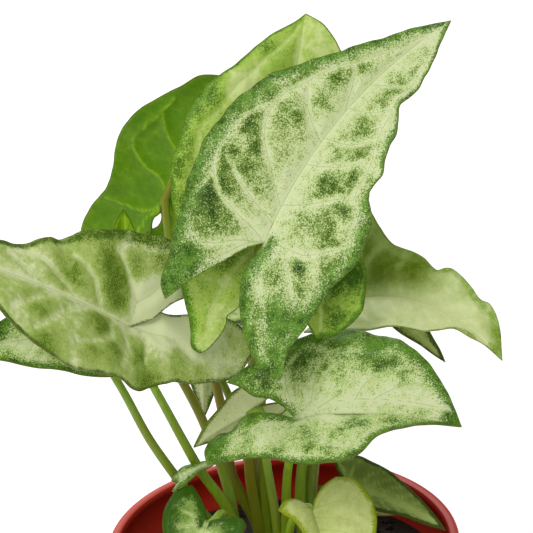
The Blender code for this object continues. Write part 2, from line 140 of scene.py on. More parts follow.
# How far each blade's margin wavers, in mm, in waves of (rate, turn, share)
WAVER = {"blade_front": 0.24, "blade_behind": 0.2, "blade_left": 0.2, "blade_lower_right": 0.2}
USUAL_WAVER = 0.06
WAVER_WAVES = ((0.5, 1, 1.0), (1.15, 2, 0.5))

# Rows of the rails and steps of the lines that markings are measured from
FINE_ROWS = (100, 200)
RIB_STEPS = 40
VEIN_STEPS = 30

# Leaf markings. The margin's band is BAND_CREST at the edge and BAND_FALL less a width further in, and at
# most BAND_CAP. Along a notch it is NOTCH_SHARE as wide, and NO_LOBE keeps it off a lobe's end. A patch
# stronger than SOLID joins it. The midrib counts as RIB_END mm away by the second of RIB_ENDS_AT, so it
# fades before the leaf's tip, and a vein counts as thinner by VEIN_TAPER at its end
SOLID = 1.15
PATCH_SPREAD = 1.25
PATCH_GREEN = 0.8
BAND_CAP = 1.12
BAND_CREST = 1.3
BAND_FALL = 1.15
NO_LOBE = (-1.2, -1.1)
LOBE_END = 1.25
NOTCH_SHARE = 0.6
RIB_END = 2.5
RIB_ENDS_AT = (0.88, 0.98)
RIB_PALE = 0.95
VEIN_TAPER = 0.5
USUAL_GROOVE_SHADE = 0.42
USUAL_VEIN_PALE = 0.85

# Noises of a leaf, as waves per mm and roughness: grains of 0.4 mm, clouds of 1, 2 and 6 mm, and so on
LEAF_NOISES = {
    "grain": (2.6, 0.7), "fine": (1.1, 0.6), "cloud": (0.45, 0.6), "wide": (0.16, 0.6),
    "margin": (0.35, 0.6), "shade": (0.3, 0.6), "skin": (3.0, 0.6),
}

# Settings of shader nodes
ADD = {"operation": "ADD"}
SUBTRACT = {"operation": "SUBTRACT"}
MULTIPLY = {"operation": "MULTIPLY"}
MULTIPLY_ADD = {"operation": "MULTIPLY_ADD"}
ABSOLUTE = {"operation": "ABSOLUTE"}
MAXIMUM = {"operation": "MAXIMUM"}
MINIMUM = {"operation": "MINIMUM"}
SMOOTH = {"interpolation_type": "SMOOTHSTEP"}
COLOURS = {"data_type": "RGBA"}

CROWNS = {
    "shoot_front": (0.5, -8.0),
    "shoot_left": (-13.0, -1.0),
    "shoot_right": (6.5, 2.5),
    "shoot_back": (-5.5, 9.5),
}

ARROW_EDGE = [(0.62, -0.44), (0.90, -0.32), (1.0, -0.10), (0.94, 0.14), (0.72, 0.42), (0.42, 0.70),
              (0.15, 0.91)]
ARROW_NOTCH = [(0.34, -0.30), (0.10, -0.13)]


def plain_blade(junction, tip, face, widths, kind="mid_green", lobes=(1, 1), fold=(12, 12), arch=1.0,
                seat=1.6):
    """A small arrowhead blade, with its halves' widths and how long their lobes are for its size."""
    length = math.dist(junction, tip)
    design = dict(junction=junction, tip=tip, face=face, kind=kind, pitch=SMALL_PITCH, fold=fold, bow=0,
                  arch=arch, cup=0.8, ruffle=(0.4, 3.0, 0.0), seat=seat)
    for name, width, lobe in zip(("left", "right"), widths, lobes):
        for part, shape in ((name, ARROW_EDGE), (name + "_notch", ARROW_NOTCH)):
            design[part] = [(x * width, y * length * (lobe if y < 0 else 1)) for x, y in shape]
    return design


BLADES = {
    "blade_front": dict(
        junction=(-1.5, -20, 195.5), tip=(52.5, 2, 249.5), face=(0, -0.93, 0.35), kind="cream_green",
        fold=(10, 10), bow=-6, arch=0, cup=1.0, ruffle=(0.4, 5.0, 0.5), seat=1.5, pitch=FINE_PITCH,
        left=[(20, -29), (22.5, -27), (24, -20), (26, -9), (27.5, 0), (28, 11), (26, 26), (22.5, 36.5),
              (15.5, 48.5), (8, 63), (3, 74)],
        left_notch=[(13.5, -17.5), (8.5, -10.5), (4, -4)],
        right=[(20, -26), (19, -19), (21, -8.5), (23, 2), (25.5, 9), (26, 17, 1), (24.5, 22.5, 2),
               (19.5, 29.5, 5), (19.5, 34.5, 7), (17, 40.5, 7), (14.5, 47, 7), (10.5, 53, 6), (10.5, 58, 4),
               (5.5, 70, 2)],
        right_notch=[(15, -27), (9.5, -25.5), (4.5, -22), (-1, -14), (-2, -9), (-1, -4)],
    ),
    "blade_behind": dict(
        junction=(-0.5, -10, 192), tip=(13, 8, 251.5), face=(0, -0.96, 0.28), kind="light_green",
        fold=(8, 8), bow=0, arch=0, cup=1.5, ruffle=(0.6, 4.0, 1.2), seat=1.4, pitch=LARGE_PITCH,
        left=[(13.5, -34.2), (15.6, -33.3), (17.2, -28), (20.2, -20), (24, -9), (26, 0.5), (29, 10),
              (30, 15), (29, 24), (26.5, 35), (21, 43), (16, 48), (9, 56), (2.5, 61)],
        left_notch=[(11.9, -33.1), (9.6, -30), (8, -26.7), (7.5, -24.1), (7.6, -22.6), (6.1, -21.3),
                    (4.8, -19.5), (3.5, -12)],
        right=[(18, -24.5), (23, -23), (26.5, -19.5), (29.5, -14), (29, -6), (27, 2), (26.5, 14), (22, 29),
               (15, 47.5), (11, 55.5), (5.5, 61.5)],
        right_notch=[(14, -20), (8.5, -12.5)],
    ),
    "blade_upper_left": dict(
        junction=(-29, 20, 194.5), tip=(-10.5, 4, 236), face=(0.25, 0.9, 0.3), kind="deep_green",
        fold=(10, 10), bow=0, arch=0, cup=1.0, ruffle=(0.5, 4.0, 0.0), seat=1.75, pitch=LARGE_PITCH,
        left=[(10, -24), (13.5, -17), (15.5, -7), (15, 3), (12.5, 14), (8, 28), (3, 41)],
        left_notch=[(6, -21.5), (-0.6, -16.5), (0.4, -14.3), (1.4, -13), (1.8, -10.5), (1.2, -8), (0, -6),
                    (-0.2, -3)],
        right=[(12, -37), (18, -30), (19, -20), (17, -9), (17.5, -1), (19.5, 6), (18.5, 20), (13.5, 30.5),
               (9.5, 37.5), (6, 44)],
        right_notch=[(7, -34), (-0.5, -27), (-1, -18), (-0.6, -14.5), (0.2, -12.3), (0.3, -9.7),
                     (-0.5, -7.7), (-0.3, -3.8)],
    ),
    "blade_left": dict(
        junction=(-40, -26, 175), tip=(-84.5, -60, 215), face=(0.66, -0.5, 0.56), kind="soft_green",
        fold=(20, 24), bow=0, arch=3, cup=1.5, ruffle=(0.5, 5.0, 0.0), seat=1.4, pitch=LARGE_PITCH,
        left=[(2.5, -43.5, 16), (6.5, -41.5, 9.5), (12.5, -26.5, 4.5), (16, -10.5), (20, 0, -3),
              (20, 10, -3), (21.5, 20, -3), (22, 30, -4), (19.5, 41.5, -3), (15, 51.5, -1), (7, 61.5)],
        left_notch=[(-0.5, -42.5, 16.5), (-4.5, -38, 16.5), (-7, -28, 12.5), (-6.9, -21, 8.7),
                    (-6.4, -17.4, 7), (-6, -13.6, 6), (-6.2, -11.5, 5.5), (-4.9, -8.7, 3.6), (-3, -5, 1.8)],
        right=[(20, -25.5, 5), (24.5, -16.5, 5.5), (27, -8, 3.5), (25, 6, -0.5), (21, 19.5, -2.5),
               (18, 25.5, -3.5), (14, 30.5, -4.5), (13, 36.5, -4), (8.5, 43.5, -3.5), (8, 51, -3),
               (5, 61.5, -0.5)],
        right_notch=[(14.5, -16.3, 3.5), (11.5, -12.4, 3), (8.8, -10.1, 2.5), (5.1, -7.2, 2), (2.3, -3.6, 1)],
    ),
    "blade_right": dict(
        junction=(23, 10, 163), tip=(64.5, -12, 152), face=(-0.35, -0.6, 0.7), kind="satin_green",
        fold=(22, 22), bow=-5, arch=9, cup=1.0, ruffle=(0.4, 4.0, 0.0), seat=1.75, pitch=LARGE_PITCH,
        left=[(24, -22), (31.5, -18.5), (35.5, -14.5), (34, -8), (27.1, -2.8), (21.8, 1.7), (15.9, 7.8),
              (14, 13.9), (12.7, 18.1), (10.9, 21.6), (10.5, 23.2), (11.9, 25.2), (12.4, 26.8), (12, 29),
              (10.7, 33.6), (9.3, 37.7), (10, 39.9), (9.3, 42), (6.1, 45.1), (2.3, 47)],
        left_notch=[(14, -14), (5, -6)],
        right=[(10, -10), (12.5, -2), (14, 6), (13.5, 11.5), (11.5, 16.5), (10.5, 21.5), (8.5, 27),
               (6, 30.5), (3, 34), (2, 38.5), (1, 41.5), (0.5, 44.5)],
        right_notch=[(6, -7), (2, -3)],
    ),
    "blade_lower_right": dict(
        junction=(5, -26, 144), tip=(50, -44, 148.5), face=(0, -0.62, 0.78), kind="pale_green",
        fold=(12, 20), bow=0, arch=5, cup=1.0, ruffle=(0.4, 5.0, 0.0), seat=1.2, pitch=LARGE_PITCH,
        left=[(10.5, -21, 12), (13, -18.5, 10.5), (16.5, -13.5, 8), (21.5, -5.5, 4), (24, 1.5, 0.5),
              (25.5, 11.5, -3), (23.5, 22.5, -3), (21.5, 30.5, -2), (15, 39, -1), (9, 44, 0.5),
              (5, 46.5, 1.5)],
        left_notch=[(9.5, -17.5, 9), (6.5, -12.5, 6.5), (6, -8.5, 4), (3.5, -4, 2.5)],
        right=[(16, -24.5, 2), (16, -18.5, 2), (16, -4.5, 1.5), (18, 7.5, -1), (17.5, 14, -1),
               (17, 20.5, -1.5), (14.5, 24.5, -0.5), (10, 27.5, 1), (5.5, 34.5, 1.5), (2, 43.5, 1.5)],
        right_notch=[(13, -26, 4.5), (7, -22.5, 5), (6.5, -20, 4.5), (2, -15, 6), (0.5, -7.5, 4)],
    ),
    "blade_left_low": plain_blade((-52, -14, 167.5), (-86, -30, 171.5), (0.05, -0.62, 0.78), (16, 14),
                                  kind="pale_green", lobes=(0.45, 0.45), arch=2),
    "blade_right_back": plain_blade((28, 26, 158.5), (51, 22, 135.5), (0.2, 0.9, 0.25), (7, 8),
                                    kind="olive", lobes=(0.5, 0.5), seat=1.15),
    "blade_pale_low": plain_blade((-5.5, -4, 137), (-24.5, -12, 129), (-0.1, 0.9, 0.3), (9, 9),
                                  kind="satin_green"),
    "blade_hanging": plain_blade((-21, 24, 144), (-22, 20, 121.5), (0, 0.9, 0.3), (7, 7),
                                 kind="soft_green"),
    "blade_small_left": plain_blade((-41.5, 1, 181.5), (-40.5, 0, 199.5), (0.2, -0.9, 0.2), (9, 6.5),
                                    kind="deep_green", lobes=(0.8, 0.8), seat=1.95),
    "blade_pot_left": plain_blade((-21.5, -26, 112), (-28.5, -42, 96.5), (-0.15, -0.35, 0.93), (13, 13),
                                  kind="dark_green", lobes=(0.25, 1.0), seat=1.6),
    "blade_new": dict(
        junction=(8.5, -26, 114.5), tip=(15.5, -46, 92.5), face=(0, -0.35, 0.93), kind="new_green",
        fold=(20, 40), bow=0, arch=1, cup=1.6, ruffle=(0.5, 3.0, 0.0), seat=1.6, pitch=SMALL_PITCH,
        left=[(9.5, -7), (14, -5), (17, 1), (17, 8), (14, 16), (8, 24)],
        left_notch=[(5, -5.5), (1.5, -2.5)],
        right=[(14, -0.5), (9.5, 3.5), (7, 8), (6, 14), (4.5, 20), (2.5, 26)],
        right_notch=[(10, -3.2), (5, -3.4), (1, -1)],
    ),
    "blade_pot_right": plain_blade((20, 2, 106.5), (47.5, -12, 97.5), (0.15, -0.45, 0.88), (10, 8),
                                   kind="olive", lobes=(0.55, 0.55), arch=2),
    "blade_husk": plain_blade((22, 3, 98), (33.5, 0, 96.5), (0, -0.5, 0.85), (4, 4), kind="husk"),
    "blade_rim_left": plain_blade((-29, -13.5, 119), (-17, -15.5, 126), (0.3, -0.3, 0.9), (3.5, 3.5),
                                  kind="pale_green", lobes=(0.5, 0.5), seat=1.85),
    "blade_back_top": plain_blade((3, 42, 175), (7, 68, 154), (0, 0.55, 0.83), (18, 18), arch=3),
    "blade_back_left": plain_blade((-7, 43, 144), (-10, 70, 128), (0, 0.4, 0.9), (13, 13), arch=3),
    "blade_back_right": plain_blade((21, 43, 143), (33, 68, 129), (0.1, 0.4, 0.9), (13, 13), arch=3),
    "blade_back_low": plain_blade((7, 39, 110), (13, 67, 94), (0.1, 0.5, 0.85), (12, 12), arch=2),
}

# Each blade's crown, and the places that its stalk passes on the way up
STALKS = {
    "blade_front": ("shoot_back", [(-9, 7, 110), (-8, 5, 133), (-5, -2, 160), (-2.5, -13, 183)]),
    "blade_behind": ("shoot_back", [(-5, 9, 110), (-4.5, 8, 133), (-1, 2, 165)]),
    "blade_upper_left": ("shoot_back", [(-14.5, 11, 107), (-16, 14, 124), (-23, 18, 158), (-29, 18, 182)]),
    "blade_left": ("shoot_left", [(-14.5, -3, 97), (-24, -9, 121.5), (-34, -18, 151)]),
    "blade_left_low": ("shoot_left", [(-21, -4, 97), (-28, -7, 112.5), (-37, -10, 131), (-44.5, -13, 151)]),
    "blade_right": ("shoot_right", [(6, 4, 108), (13, 8, 135), (19, 10, 151)]),
    "blade_right_back": ("shoot_right", [(9, 8, 108), (17, 15, 135), (24, 18, 150)]),
    "blade_lower_right": ("shoot_front", [(1, -10, 100), (2, -15, 120), (4, -21.5, 136)]),
    "blade_pale_low": ("shoot_front", [(-2, -7.5, 103), (-4, -5.5, 122)]),
    "blade_hanging": ("shoot_back", [(-9, 14, 106), (-14, 20, 128)]),
    "blade_small_left": ("shoot_left", [(-15, 2, 103), (-22, 6, 128), (-34, 6, 156), (-41, 4, 174)]),
    "blade_pot_left": ("shoot_left", [(-14.5, -7, 97), (-17.5, -14, 108)]),
    "blade_new": ("shoot_front", [(1.5, -12.5, 98), (4.5, -17.5, 109)]),
    "blade_pot_right": ("shoot_right", [(10.5, 1.5, 96)]),
    "blade_husk": ("shoot_right", [(11, 3, 90)]),
    "blade_rim_left": ("shoot_left", [(-18, -6, 96), (-25, -10, 109)]),
    "blade_back_top": ("shoot_back", [(-6, 14, 112), (-6, 22, 145), (-1, 34, 167)]),
    "blade_back_left": ("shoot_back", [(-5, 18, 108), (-7, 29, 130)]),
    "blade_back_right": ("shoot_right", [(10, 10, 106), (16, 26, 128)]),
    "blade_back_low": ("shoot_right", [(8, 12, 98), (7.5, 24, 107)]),
}

# Side veins, each from where it starts to where it ends, as (t, b), and midribs drawn off the fold line
VEINS = {
    "blade_front": dict(
        left=[
            [(0.13, 0), (0.21, 0.3), (0.26, 0.5), (0.31, 0.62), (0.38, 0.71), (0.49, 0.7), (0.61, 0.71),
             (0.69, 0.56), (0.78, 0.41), (0.96, 0.11)],
            [(0.39, 0), (0.41, 0.19), (0.44, 0.38), (0.51, 0.7)],
            [(0.52, 0), (0.59, 0.18), (0.64, 0.4), (0.66, 0.6)],
            [(0, 0), (0.01, 0.1), (0.02, 0.4), (0.05, 0.71), (0.1, 0.83), (0.23, 0.85), (0.35, 0.76)],
            [(0.07, 0), (0.1, 0.43), (0.14, 0.73)],
            [(0, 0), (-0.13, 0.14), (-0.32, 0.36), (-0.38, 0.62), (-0.37, 0.76), (-0.25, 0.89),
             (-0.1, 0.93), (0.07, 0.8)],
            [(0, 0.04), (-0.3, 0.1), (-0.6, 0.2), (-0.8, 0.4)],
        ],
        right=[
            [(0, 0), (0.03, 0.29), (0.05, 0.53), (0.09, 0.65), (0.18, 0.83), (0.27, 0.83), (0.31, 0.8)],
            [(0.14, 0), (0.19, 0.25), (0.26, 0.53), (0.31, 0.78), (0.36, 0.83), (0.46, 0.78), (0.54, 0.74),
             (0.66, 0.85), (0.81, 0.78), (0.95, 0.6)],
            [(0.3, 0), (0.33, 0.25), (0.37, 0.5), (0.44, 0.73)],
            [(0.41, 0), (0.44, 0.39), (0.49, 0.69)],
            [(0.54, 0), (0.57, 0.41), (0.62, 0.81)],
            [(0.65, 0), (0.69, 0.5), (0.72, 0.9)],
            [(0, 0), (-0.1, 0.09), (-0.25, 0.2), (-0.37, 0.34), (-0.65, 0.45), (-0.85, 0.48)],
            [(0, 0), (0.02, 0.26), (-0.05, 0.4), (-0.15, 0.56), (-0.37, 0.83)],
            [(0.18, 0.84), (0.11, 0.93), (0.02, 0.95), (-0.1, 0.9), (-0.3, 0.85), (-0.55, 0.85),
             (-0.75, 0.85)],
        ],
    ),
    "blade_behind": dict(
        left=[
            [(0, 0), (0.06, 0.4), (0.16, 0.7), (0.29, 0.81), (0.39, 0.83), (0.47, 0.72), (0.6, 0.74),
             (0.72, 0.68), (0.8, 0.56), (0.95, 0.3)],
            [(0.15, 0), (0.22, 0.35), (0.34, 0.72)],
            [(0.3, 0), (0.36, 0.35), (0.47, 0.7)],
            [(0.5, 0), (0.56, 0.35), (0.65, 0.7)],
            [(0, 0), (-0.2, 0.2), (-0.5, 0.4), (-0.85, 0.5)],
        ],
        right=[
            [(0, 0), (-0.2, 0.2), (-0.5, 0.38), (-0.85, 0.5)],
            [(0, 0), (-0.08, 0.4), (-0.2, 0.75)],
            [(0, 0), (0.06, 0.35), (0.14, 0.62), (0.4, 0.8), (0.7, 0.84), (0.91, 0.81)],
            [(0.2, 0), (0.26, 0.35), (0.36, 0.7)],
            [(0.45, 0), (0.5, 0.35), (0.6, 0.7)],
        ],
    ),
    "blade_upper_left": dict(
        left=[
            [(0, 0), (0.05, 0.4), (0.2, 0.75), (0.5, 0.8), (0.9, 0.6)],
            [(0, 0), (-0.2, 0.2), (-0.5, 0.4), (-0.85, 0.5)],
        ],
        right=[
            [(-0.04, 0), (-0.2, 0.18), (-0.27, 0.53), (-0.3, 0.91)],
            [(0, 0), (0.07, 0.12), (0.11, 0.48), (0.16, 0.68), (0.22, 0.78), (0.29, 0.78), (0.4, 0.73),
             (0.52, 0.73), (0.64, 0.79)],
            [(-0.1, 0), (-0.3, 0.15), (-0.6, 0.3)],
            [(0.3, 0), (0.38, 0.35), (0.5, 0.7)],
        ],
    ),
    "blade_left": dict(
        left=[
            [(0.05, 0), (0.11, 0.09), (0.16, 0.41), (0.25, 0.56), (0.36, 0.64)],
            [(0, 0), (-0.05, 0.1), (-0.1, 0.3), (-0.1, 0.49), (-0.07, 0.66)],
            [(0.25, 0), (0.39, 0.25), (0.49, 0.53), (0.56, 0.79)],
            [(0.45, 0), (0.56, 0.29), (0.68, 0.73)],
            [(0.07, 0), (0.05, 0.26), (0.06, 0.54), (0.11, 0.8)],
            [(0, 0), (-0.2, 0.31), (-0.37, 0.5), (-0.5, 0.71), (-0.68, 0.75), (-0.85, 0.73)],
        ],
        right=[
            [(0.18, 0), (0.21, 0.21), (0.24, 0.4), (0.29, 0.56), (0.34, 0.7)],
            [(0, 0), (-0.02, 0.25), (0.02, 0.41), (0.06, 0.58), (0.11, 0.76)],
            [(-0.02, 0.25), (-0.17, 0.33), (-0.32, 0.44), (-0.6, 0.5)],
            [(0.34, 0), (0.39, 0.23), (0.46, 0.45), (0.54, 0.69), (0.63, 0.84)],
            [(0.11, 0.78), (0.05, 0.86), (-0.1, 0.84), (-0.3, 0.84)],
            [(0.5, 0), (0.58, 0.3), (0.68, 0.7)],
        ],
    ),
    "blade_lower_right": dict(
        rib=[(0, 0), (0.09, 0.04), (0.15, 0.09), (0.26, 0.15), (0.37, 0.18), (0.48, 0.2), (0.64, 0.26),
             (0.79, 0.39), (0.91, 0.72), (0.97, 0.8)],
        left=[
            [(0.02, 0), (0.09, 0.18), (0.09, 0.3), (0.09, 0.54), (0.11, 0.7)],
            [(0, 0), (-0.12, 0.18), (-0.2, 0.35), (-0.15, 0.69), (0, 0.86), (0.16, 0.74), (0.28, 0.76),
             (0.41, 0.84), (0.52, 0.83), (0.66, 0.85), (0.83, 0.89)],
            [(0.15, 0.09), (0.26, 0.24), (0.27, 0.36), (0.37, 0.55)],
            [(0.37, 0.18), (0.4, 0.39), (0.48, 0.54), (0.54, 0.64), (0.61, 0.85)],
            [(0.48, 0.2), (0.56, 0.38), (0.66, 0.61), (0.76, 0.78)],
            [(0, 0), (-0.15, 0.03), (-0.28, 0.05), (-0.4, 0.14)],
        ],
        right=[
            [(0, 0), (0.07, 0.04), (0.17, 0.3), (0.27, 0.53), (0.37, 0.68), (0.43, 0.69)],
            [(0, 0.04), (-0.05, 0.28), (-0.02, 0.55), (0.06, 0.8)],
            [(0, 0.04), (-0.13, 0.1), (-0.22, 0.25), (-0.37, 0.38), (-0.6, 0.46)],
            [(0.3, 0), (0.49, 0.15), (0.56, 0.31), (0.66, 0.6)],
        ],
    ),
}

# Green patches between the veins, as (t, b, reach in mm, strength): over SOLID they hide the pale ground,
# and where the strength is negative the ground is paler. Some, marked below, are painted shade, and one is
# painted light.
PATCHES = {
    "blade_front": dict(
        left=[(-0.58, 0.54, 4.5, 1.3), (-0.53, 0.19, 3, 0.7), (-0.43, 0.4, 4.5, 0.7), (-0.25, 0.58, 4, 0.8),
              (-0.15, 0.35, 3, 0.5), (-0.02, 0.48, 3, 0.9), (0, 0.75, 5, 1.14), (-0.08, 0.62, 4, 1.1),
              (-0.14, 0.76, 4, 1.1), (0.06, 0.68, 4.5, 1.12), (-0.02, 0.9, 4, 1.1), (0.09, 0.55, 4.5, 0.8),
              (0.14, 0.33, 4, 0.5), (0.15, 0.5, 3.5, 0.75), (0.16, 0.75, 4, 0.65), (0.23, 0.54, 3, 0.8),
              (0.27, 0.71, 5, 0.8), (0.29, 0.33, 5.5, 0.45), (0.29, 0.86, 3.5, 0.7), (0.34, 0.56, 3.5, 0.5),
              (0.39, 0.43, 2, 0.9), (0.39, 0.85, 3.5, 0.7), (0.4, 0.59, 3.5, 0.45), (0.51, 0.34, 2.5, 0.5),
              (0.53, 0.89, 3, 1.0), (0.59, 0.51, 3, 0.9), (0.68, 0.51, 3, 0.6), (0.74, 0.26, 3, 0.55),
              (0.84, 0.16, 3.5, 0.5)],
        right=[(-0.47, 0.61, 5, 1.2), (-0.45, 0.94, 4.5, 1.3), (-0.75, 0.6, 3, 1.2),
               (-0.3, 0.04, 2.5, 1.14), (-0.42, 0.06, 3, 1.14), (-0.6, 0.12, 3, 1.14),
               (-0.45, 0.27, 2.5, 0.8), (-0.28, 0.51, 3.5, 0.7), (-0.18, 0.38, 3, 0.85),
               (-0.15, 0.7, 2.5, 0.85), (0, 0.54, 3, 0.9), (0.04, 0.8, 2.5, 0.9), (0.11, 0.83, 4.5, 0.8),
               (0.13, 0.33, 4.5, 0.55), (0.14, 0.55, 4, 0.7), (0.17, 0.5, 4, 0.8), (0.24, 0.62, 3, 0.9),
               (0.28, 0.39, 5, 0.9), (0.35, 0.7, 3.5, 0.9), (0.37, 0.26, 4, 0.5), (0.43, 0.54, 3.5, 0.7),
               (0.46, 0.26, 3.5, 0.4), (0.52, 0.35, 4, 0.7), (0.64, 0.41, 3.5, 0.5), (0.71, 0.43, 3.5, 0.8),
               (0.77, 0.53, 3.5, 0.6), (0.84, 0.61, 3, 0.6)],
    ),
    "blade_lower_right": dict(
        left=[(-0.88, 0.31, 3, 1.14), (-0.75, 0.6, 4, 1.14), (-0.67, 0.4, 4, 1.14), (-0.5, 0.55, 4, 1.14),
              (-0.45, 0.3, 4, 1.14), (-0.25, 0.6, 4, 1.1), (-0.07, 0.73, 6, 1.14), (0.05, 0.9, 4, 1.1),
              (0.1, 0.6, 4, 0.9), (0.2, 0.8, 5, 1.14), (0.34, 0.8, 5, 1.14), (0.5, 0.75, 4, 1.0),
              (0, 0.86, 4, 1.0), (0.08, 0.71, 4, 0.9), (0.16, 0.85, 4, 1.1), (0.23, 0.74, 3.5, 1.1),
              (0.31, 0.76, 3.5, 1.1), (0.24, 0.51, 3.5, 0.7), (0.26, 0.85, 5, 1.1), (0.37, 0.9, 4, 1.3),
              (0.45, 0.66, 3.5, 1.05), (0.57, 0.65, 3, 0.85), (0.64, 0.05, 2.5, 0.9), (0.71, 0.71, 3, 0.65),
              (0.76, 0.12, 2.5, 1.1), (0.95, 0.5, 3, 1.3)],
        right=[(-0.77, 0.34, 4, 1.3), (-0.43, 0.43, 2, 0.9), (-0.38, 0.11, 3, 1.2),
               (-0.35, 0.74, 2.5, 0.85), (0.05, 0.8, 2.5, 0.9), (0.09, 0.48, 3, 0.6), (0.23, 0.74, 2, 0.9),
               (0.34, 0.84, 2.5, 0.7), (0.39, 0.41, 3, 0.6), (0.44, 0.18, 3.5, 1.05),
               (0.66, 0.3, 3.5, 1.05), (0.15, 0.4, 3.5, 0.8), (0.8, 0.4, 3, 0.9), (0.93, 0.5, 2.5, 1.25)],
    ),
    "blade_left": dict(
        # The first left patch, which pales the lobe's end, is painted light: it lifts the lobe where the
        # front blade shades it.
        left=[(-0.75, 0.55, 7, -0.6), (-0.33, 0.68, 4, 0.7), (-0.47, 0.78, 3, 0.4), (-0.07, 0.95, 4.5, 0.9),
              (-0.03, 0.56, 4, 0.9), (0.16, 0.65, 4, 0.7), (0.2, 0.3, 5.5, 0.85), (0.29, 0.71, 3, 0.6),
              (0.51, 0.95, 4, 0.8), (0.54, 0.46, 5, 0.55), (-0.2, 0.25, 7, -0.7), (-0.5, 0.4, 6, -0.6),
              (-0.15, 0.05, 4, -0.5)],
        # The right patches of strength 1.1 are painted shade: the dark olive stretch between the first basal
        # veins, which turns away from the light.
        right=[(-0.23, 0.68, 4.5, 0.8), (-0.08, 0.56, 4.5, 0.5), (0.02, 0.6, 4, 0.8), (0.09, 0.22, 5, 1.1),
               (-0.1, 0.92, 5, 0.5), (0.12, 0.92, 5, 0.5), (0.3, 0.92, 4, 0.4), (0.12, 0.4, 5, 1.1),
               (0.16, 0.58, 4.5, 1.1), (0.24, 0.94, 4, 0.6), (0.37, 0.34, 4, 0.7), (0.42, 0.5, 4, 0.5),
               (-0.12, 0.15, 5, -0.9), (-0.3, 0.35, 6, -0.7), (-0.05, 0.35, 3, -0.5)],
    ),
    "blade_left_low": dict(
        left=[(0.3, 0.6, 4, 1.1), (0.7, 0.5, 3, 1.1)],
        right=[(0, 0.6, 3.5, 1.1), (0.3, 0.6, 3.5, 1.3), (0.55, 0.3, 2.5, 1.1), (0.7, 0.7, 3.5, 1.3)],
    ),
    "blade_behind": dict(
        left=[(-0.7, 0.95, 3, 0.6), (-0.3, 0.9, 4, 0.7), (-0.15, 0.4, 5, 0.7), (0.1, 0.93, 3.5, 0.8),
              (0.22, 0.95, 3.5, 0.8), (0.33, 0.97, 3.5, 0.8), (0.44, 0.97, 3, 0.8), (0.54, 0.91, 4, 1.14),
              (0.7, 0.95, 2.5, 0.5), (0.8, 0.83, 3, 0.7), (0.81, 0.3, 3, 0.4), (0.92, 0.43, 3, 0.6),
              (0.64, 0.72, 4, -0.5), (0.56, 0.72, 3, -0.5), (0.2, 0.75, 4, -0.3), (-0.62, 0.3, 4, -0.25),
              (-0.85, 0.5, 4, -0.2), (-0.35, 0.3, 3, -0.2)],
        right=[(-0.58, 0.54, 4, 0.7), (-0.65, 0.75, 4, 0.9), (-0.17, 0.9, 4, 0.9), (-0.3, 0.6, 6, 1.14),
               (-0.1, 0.6, 6, 1.14), (-0.2, 0.85, 5, 1.1), (0.84, 0.6, 5, -0.4)],
    ),
    "blade_right": dict(
        # The five broad left patches are painted shade: the far half stands up away from the light, washed
        # dark olive.
        left=[(0.15, 0.5, 9, 1.1), (0.32, 0.7, 7, 1.14), (-0.2, 0.5, 10, 1.1), (0.15, 0.2, 5, 1.1),
              (-0.6, 0.5, 9, 1.0), (0.64, 0.88, 2.5, 0.5), (0.9, 0.55, 4, 0.8), (0.95, 0.16, 2, 1.3)],
        right=[],
    ),
}

# The green margin band of each half: its width in mm, as (t, width), its width along the notch, the t up to
# which a lobe's end is solid green and the t at which its speckles end, and a cap that keeps it soft
BANDS = {
    "blade_front": dict(
        left=[(-1, 7), (-0.5, 6), (0, 5.6), (0.2, 5.4), (0.35, 4.4), (0.5, 3.8), (0.7, 3.6), (1, 2.5)],
        right=[(-1, 5), (-0.7, 5), (-0.4, 5), (-0.1, 5), (0.2, 5), (0.3, 4), (0.36, 0.8), (0.44, 1.5),
               (0.5, 2.5), (0.56, 2), (0.6, 0.8), (0.66, 2), (0.75, 0.6), (0.9, 1), (1, 2)],
        left_notch=0.5, right_notch=5.0, left_lobe=(-0.85, -0.3), right_lobe=(-1.05, -0.45)),
    "blade_behind": dict(
        left=[(-1, 1.5), (-0.5, 3), (-0.1, 1.6), (0.2, 1.4), (0.5, 2.4), (0.6, 1), (1, 0.8)],
        right=[(-1, 2), (-0.5, 2), (0, 0.8), (1, 0.5)], left_notch=0.5, right_notch=1),
    "blade_upper_left": dict(left=[(0, 0.3)], right=[(0, 0.3)], left_notch=0.3, right_notch=0.3),
    "blade_left": dict(
        left=[(-1, 1), (-0.6, 1.2), (0, 1), (0.4, 1), (1, 1.5)],
        right=[(-1, 4.5), (0, 4.2), (0.2, 3.6), (0.35, 2), (0.6, 1.6), (1, 2)],
        left_notch=1.2, right_notch=0.8, right_cap=0.7, left_cap=0.7),
    "blade_lower_right": dict(
        left=[(-1, 5), (-0.6, 4.5), (0, 5), (0.3, 6), (0.6, 4.6), (0.9, 4), (1, 4)],
        right=[(-1, 5), (-0.6, 3), (-0.2, 2), (0.3, 2.6), (0.45, 3), (0.7, 2.4), (1, 4)],
        left_notch=2.4, right_notch=4.0, right_lobe=(-0.85, -0.5)),
    "blade_left_low": dict(
        left=[(-1, 3), (0, 2.5), (1, 3)], right=[(-1, 3), (0, 3.6), (1, 3.5)], left_notch=1, right_notch=1),
    "blade_right": dict(
        left=[(-1, 0.6), (0.4, 0.6), (0.55, 2), (0.85, 4), (1, 5)],
        right=[(-1, 0.5), (0.7, 0.5), (0.9, 4), (1, 5)],
        left_notch=0.3, right_notch=0.3, left_cap=0.6, right_cap=0.6),
}

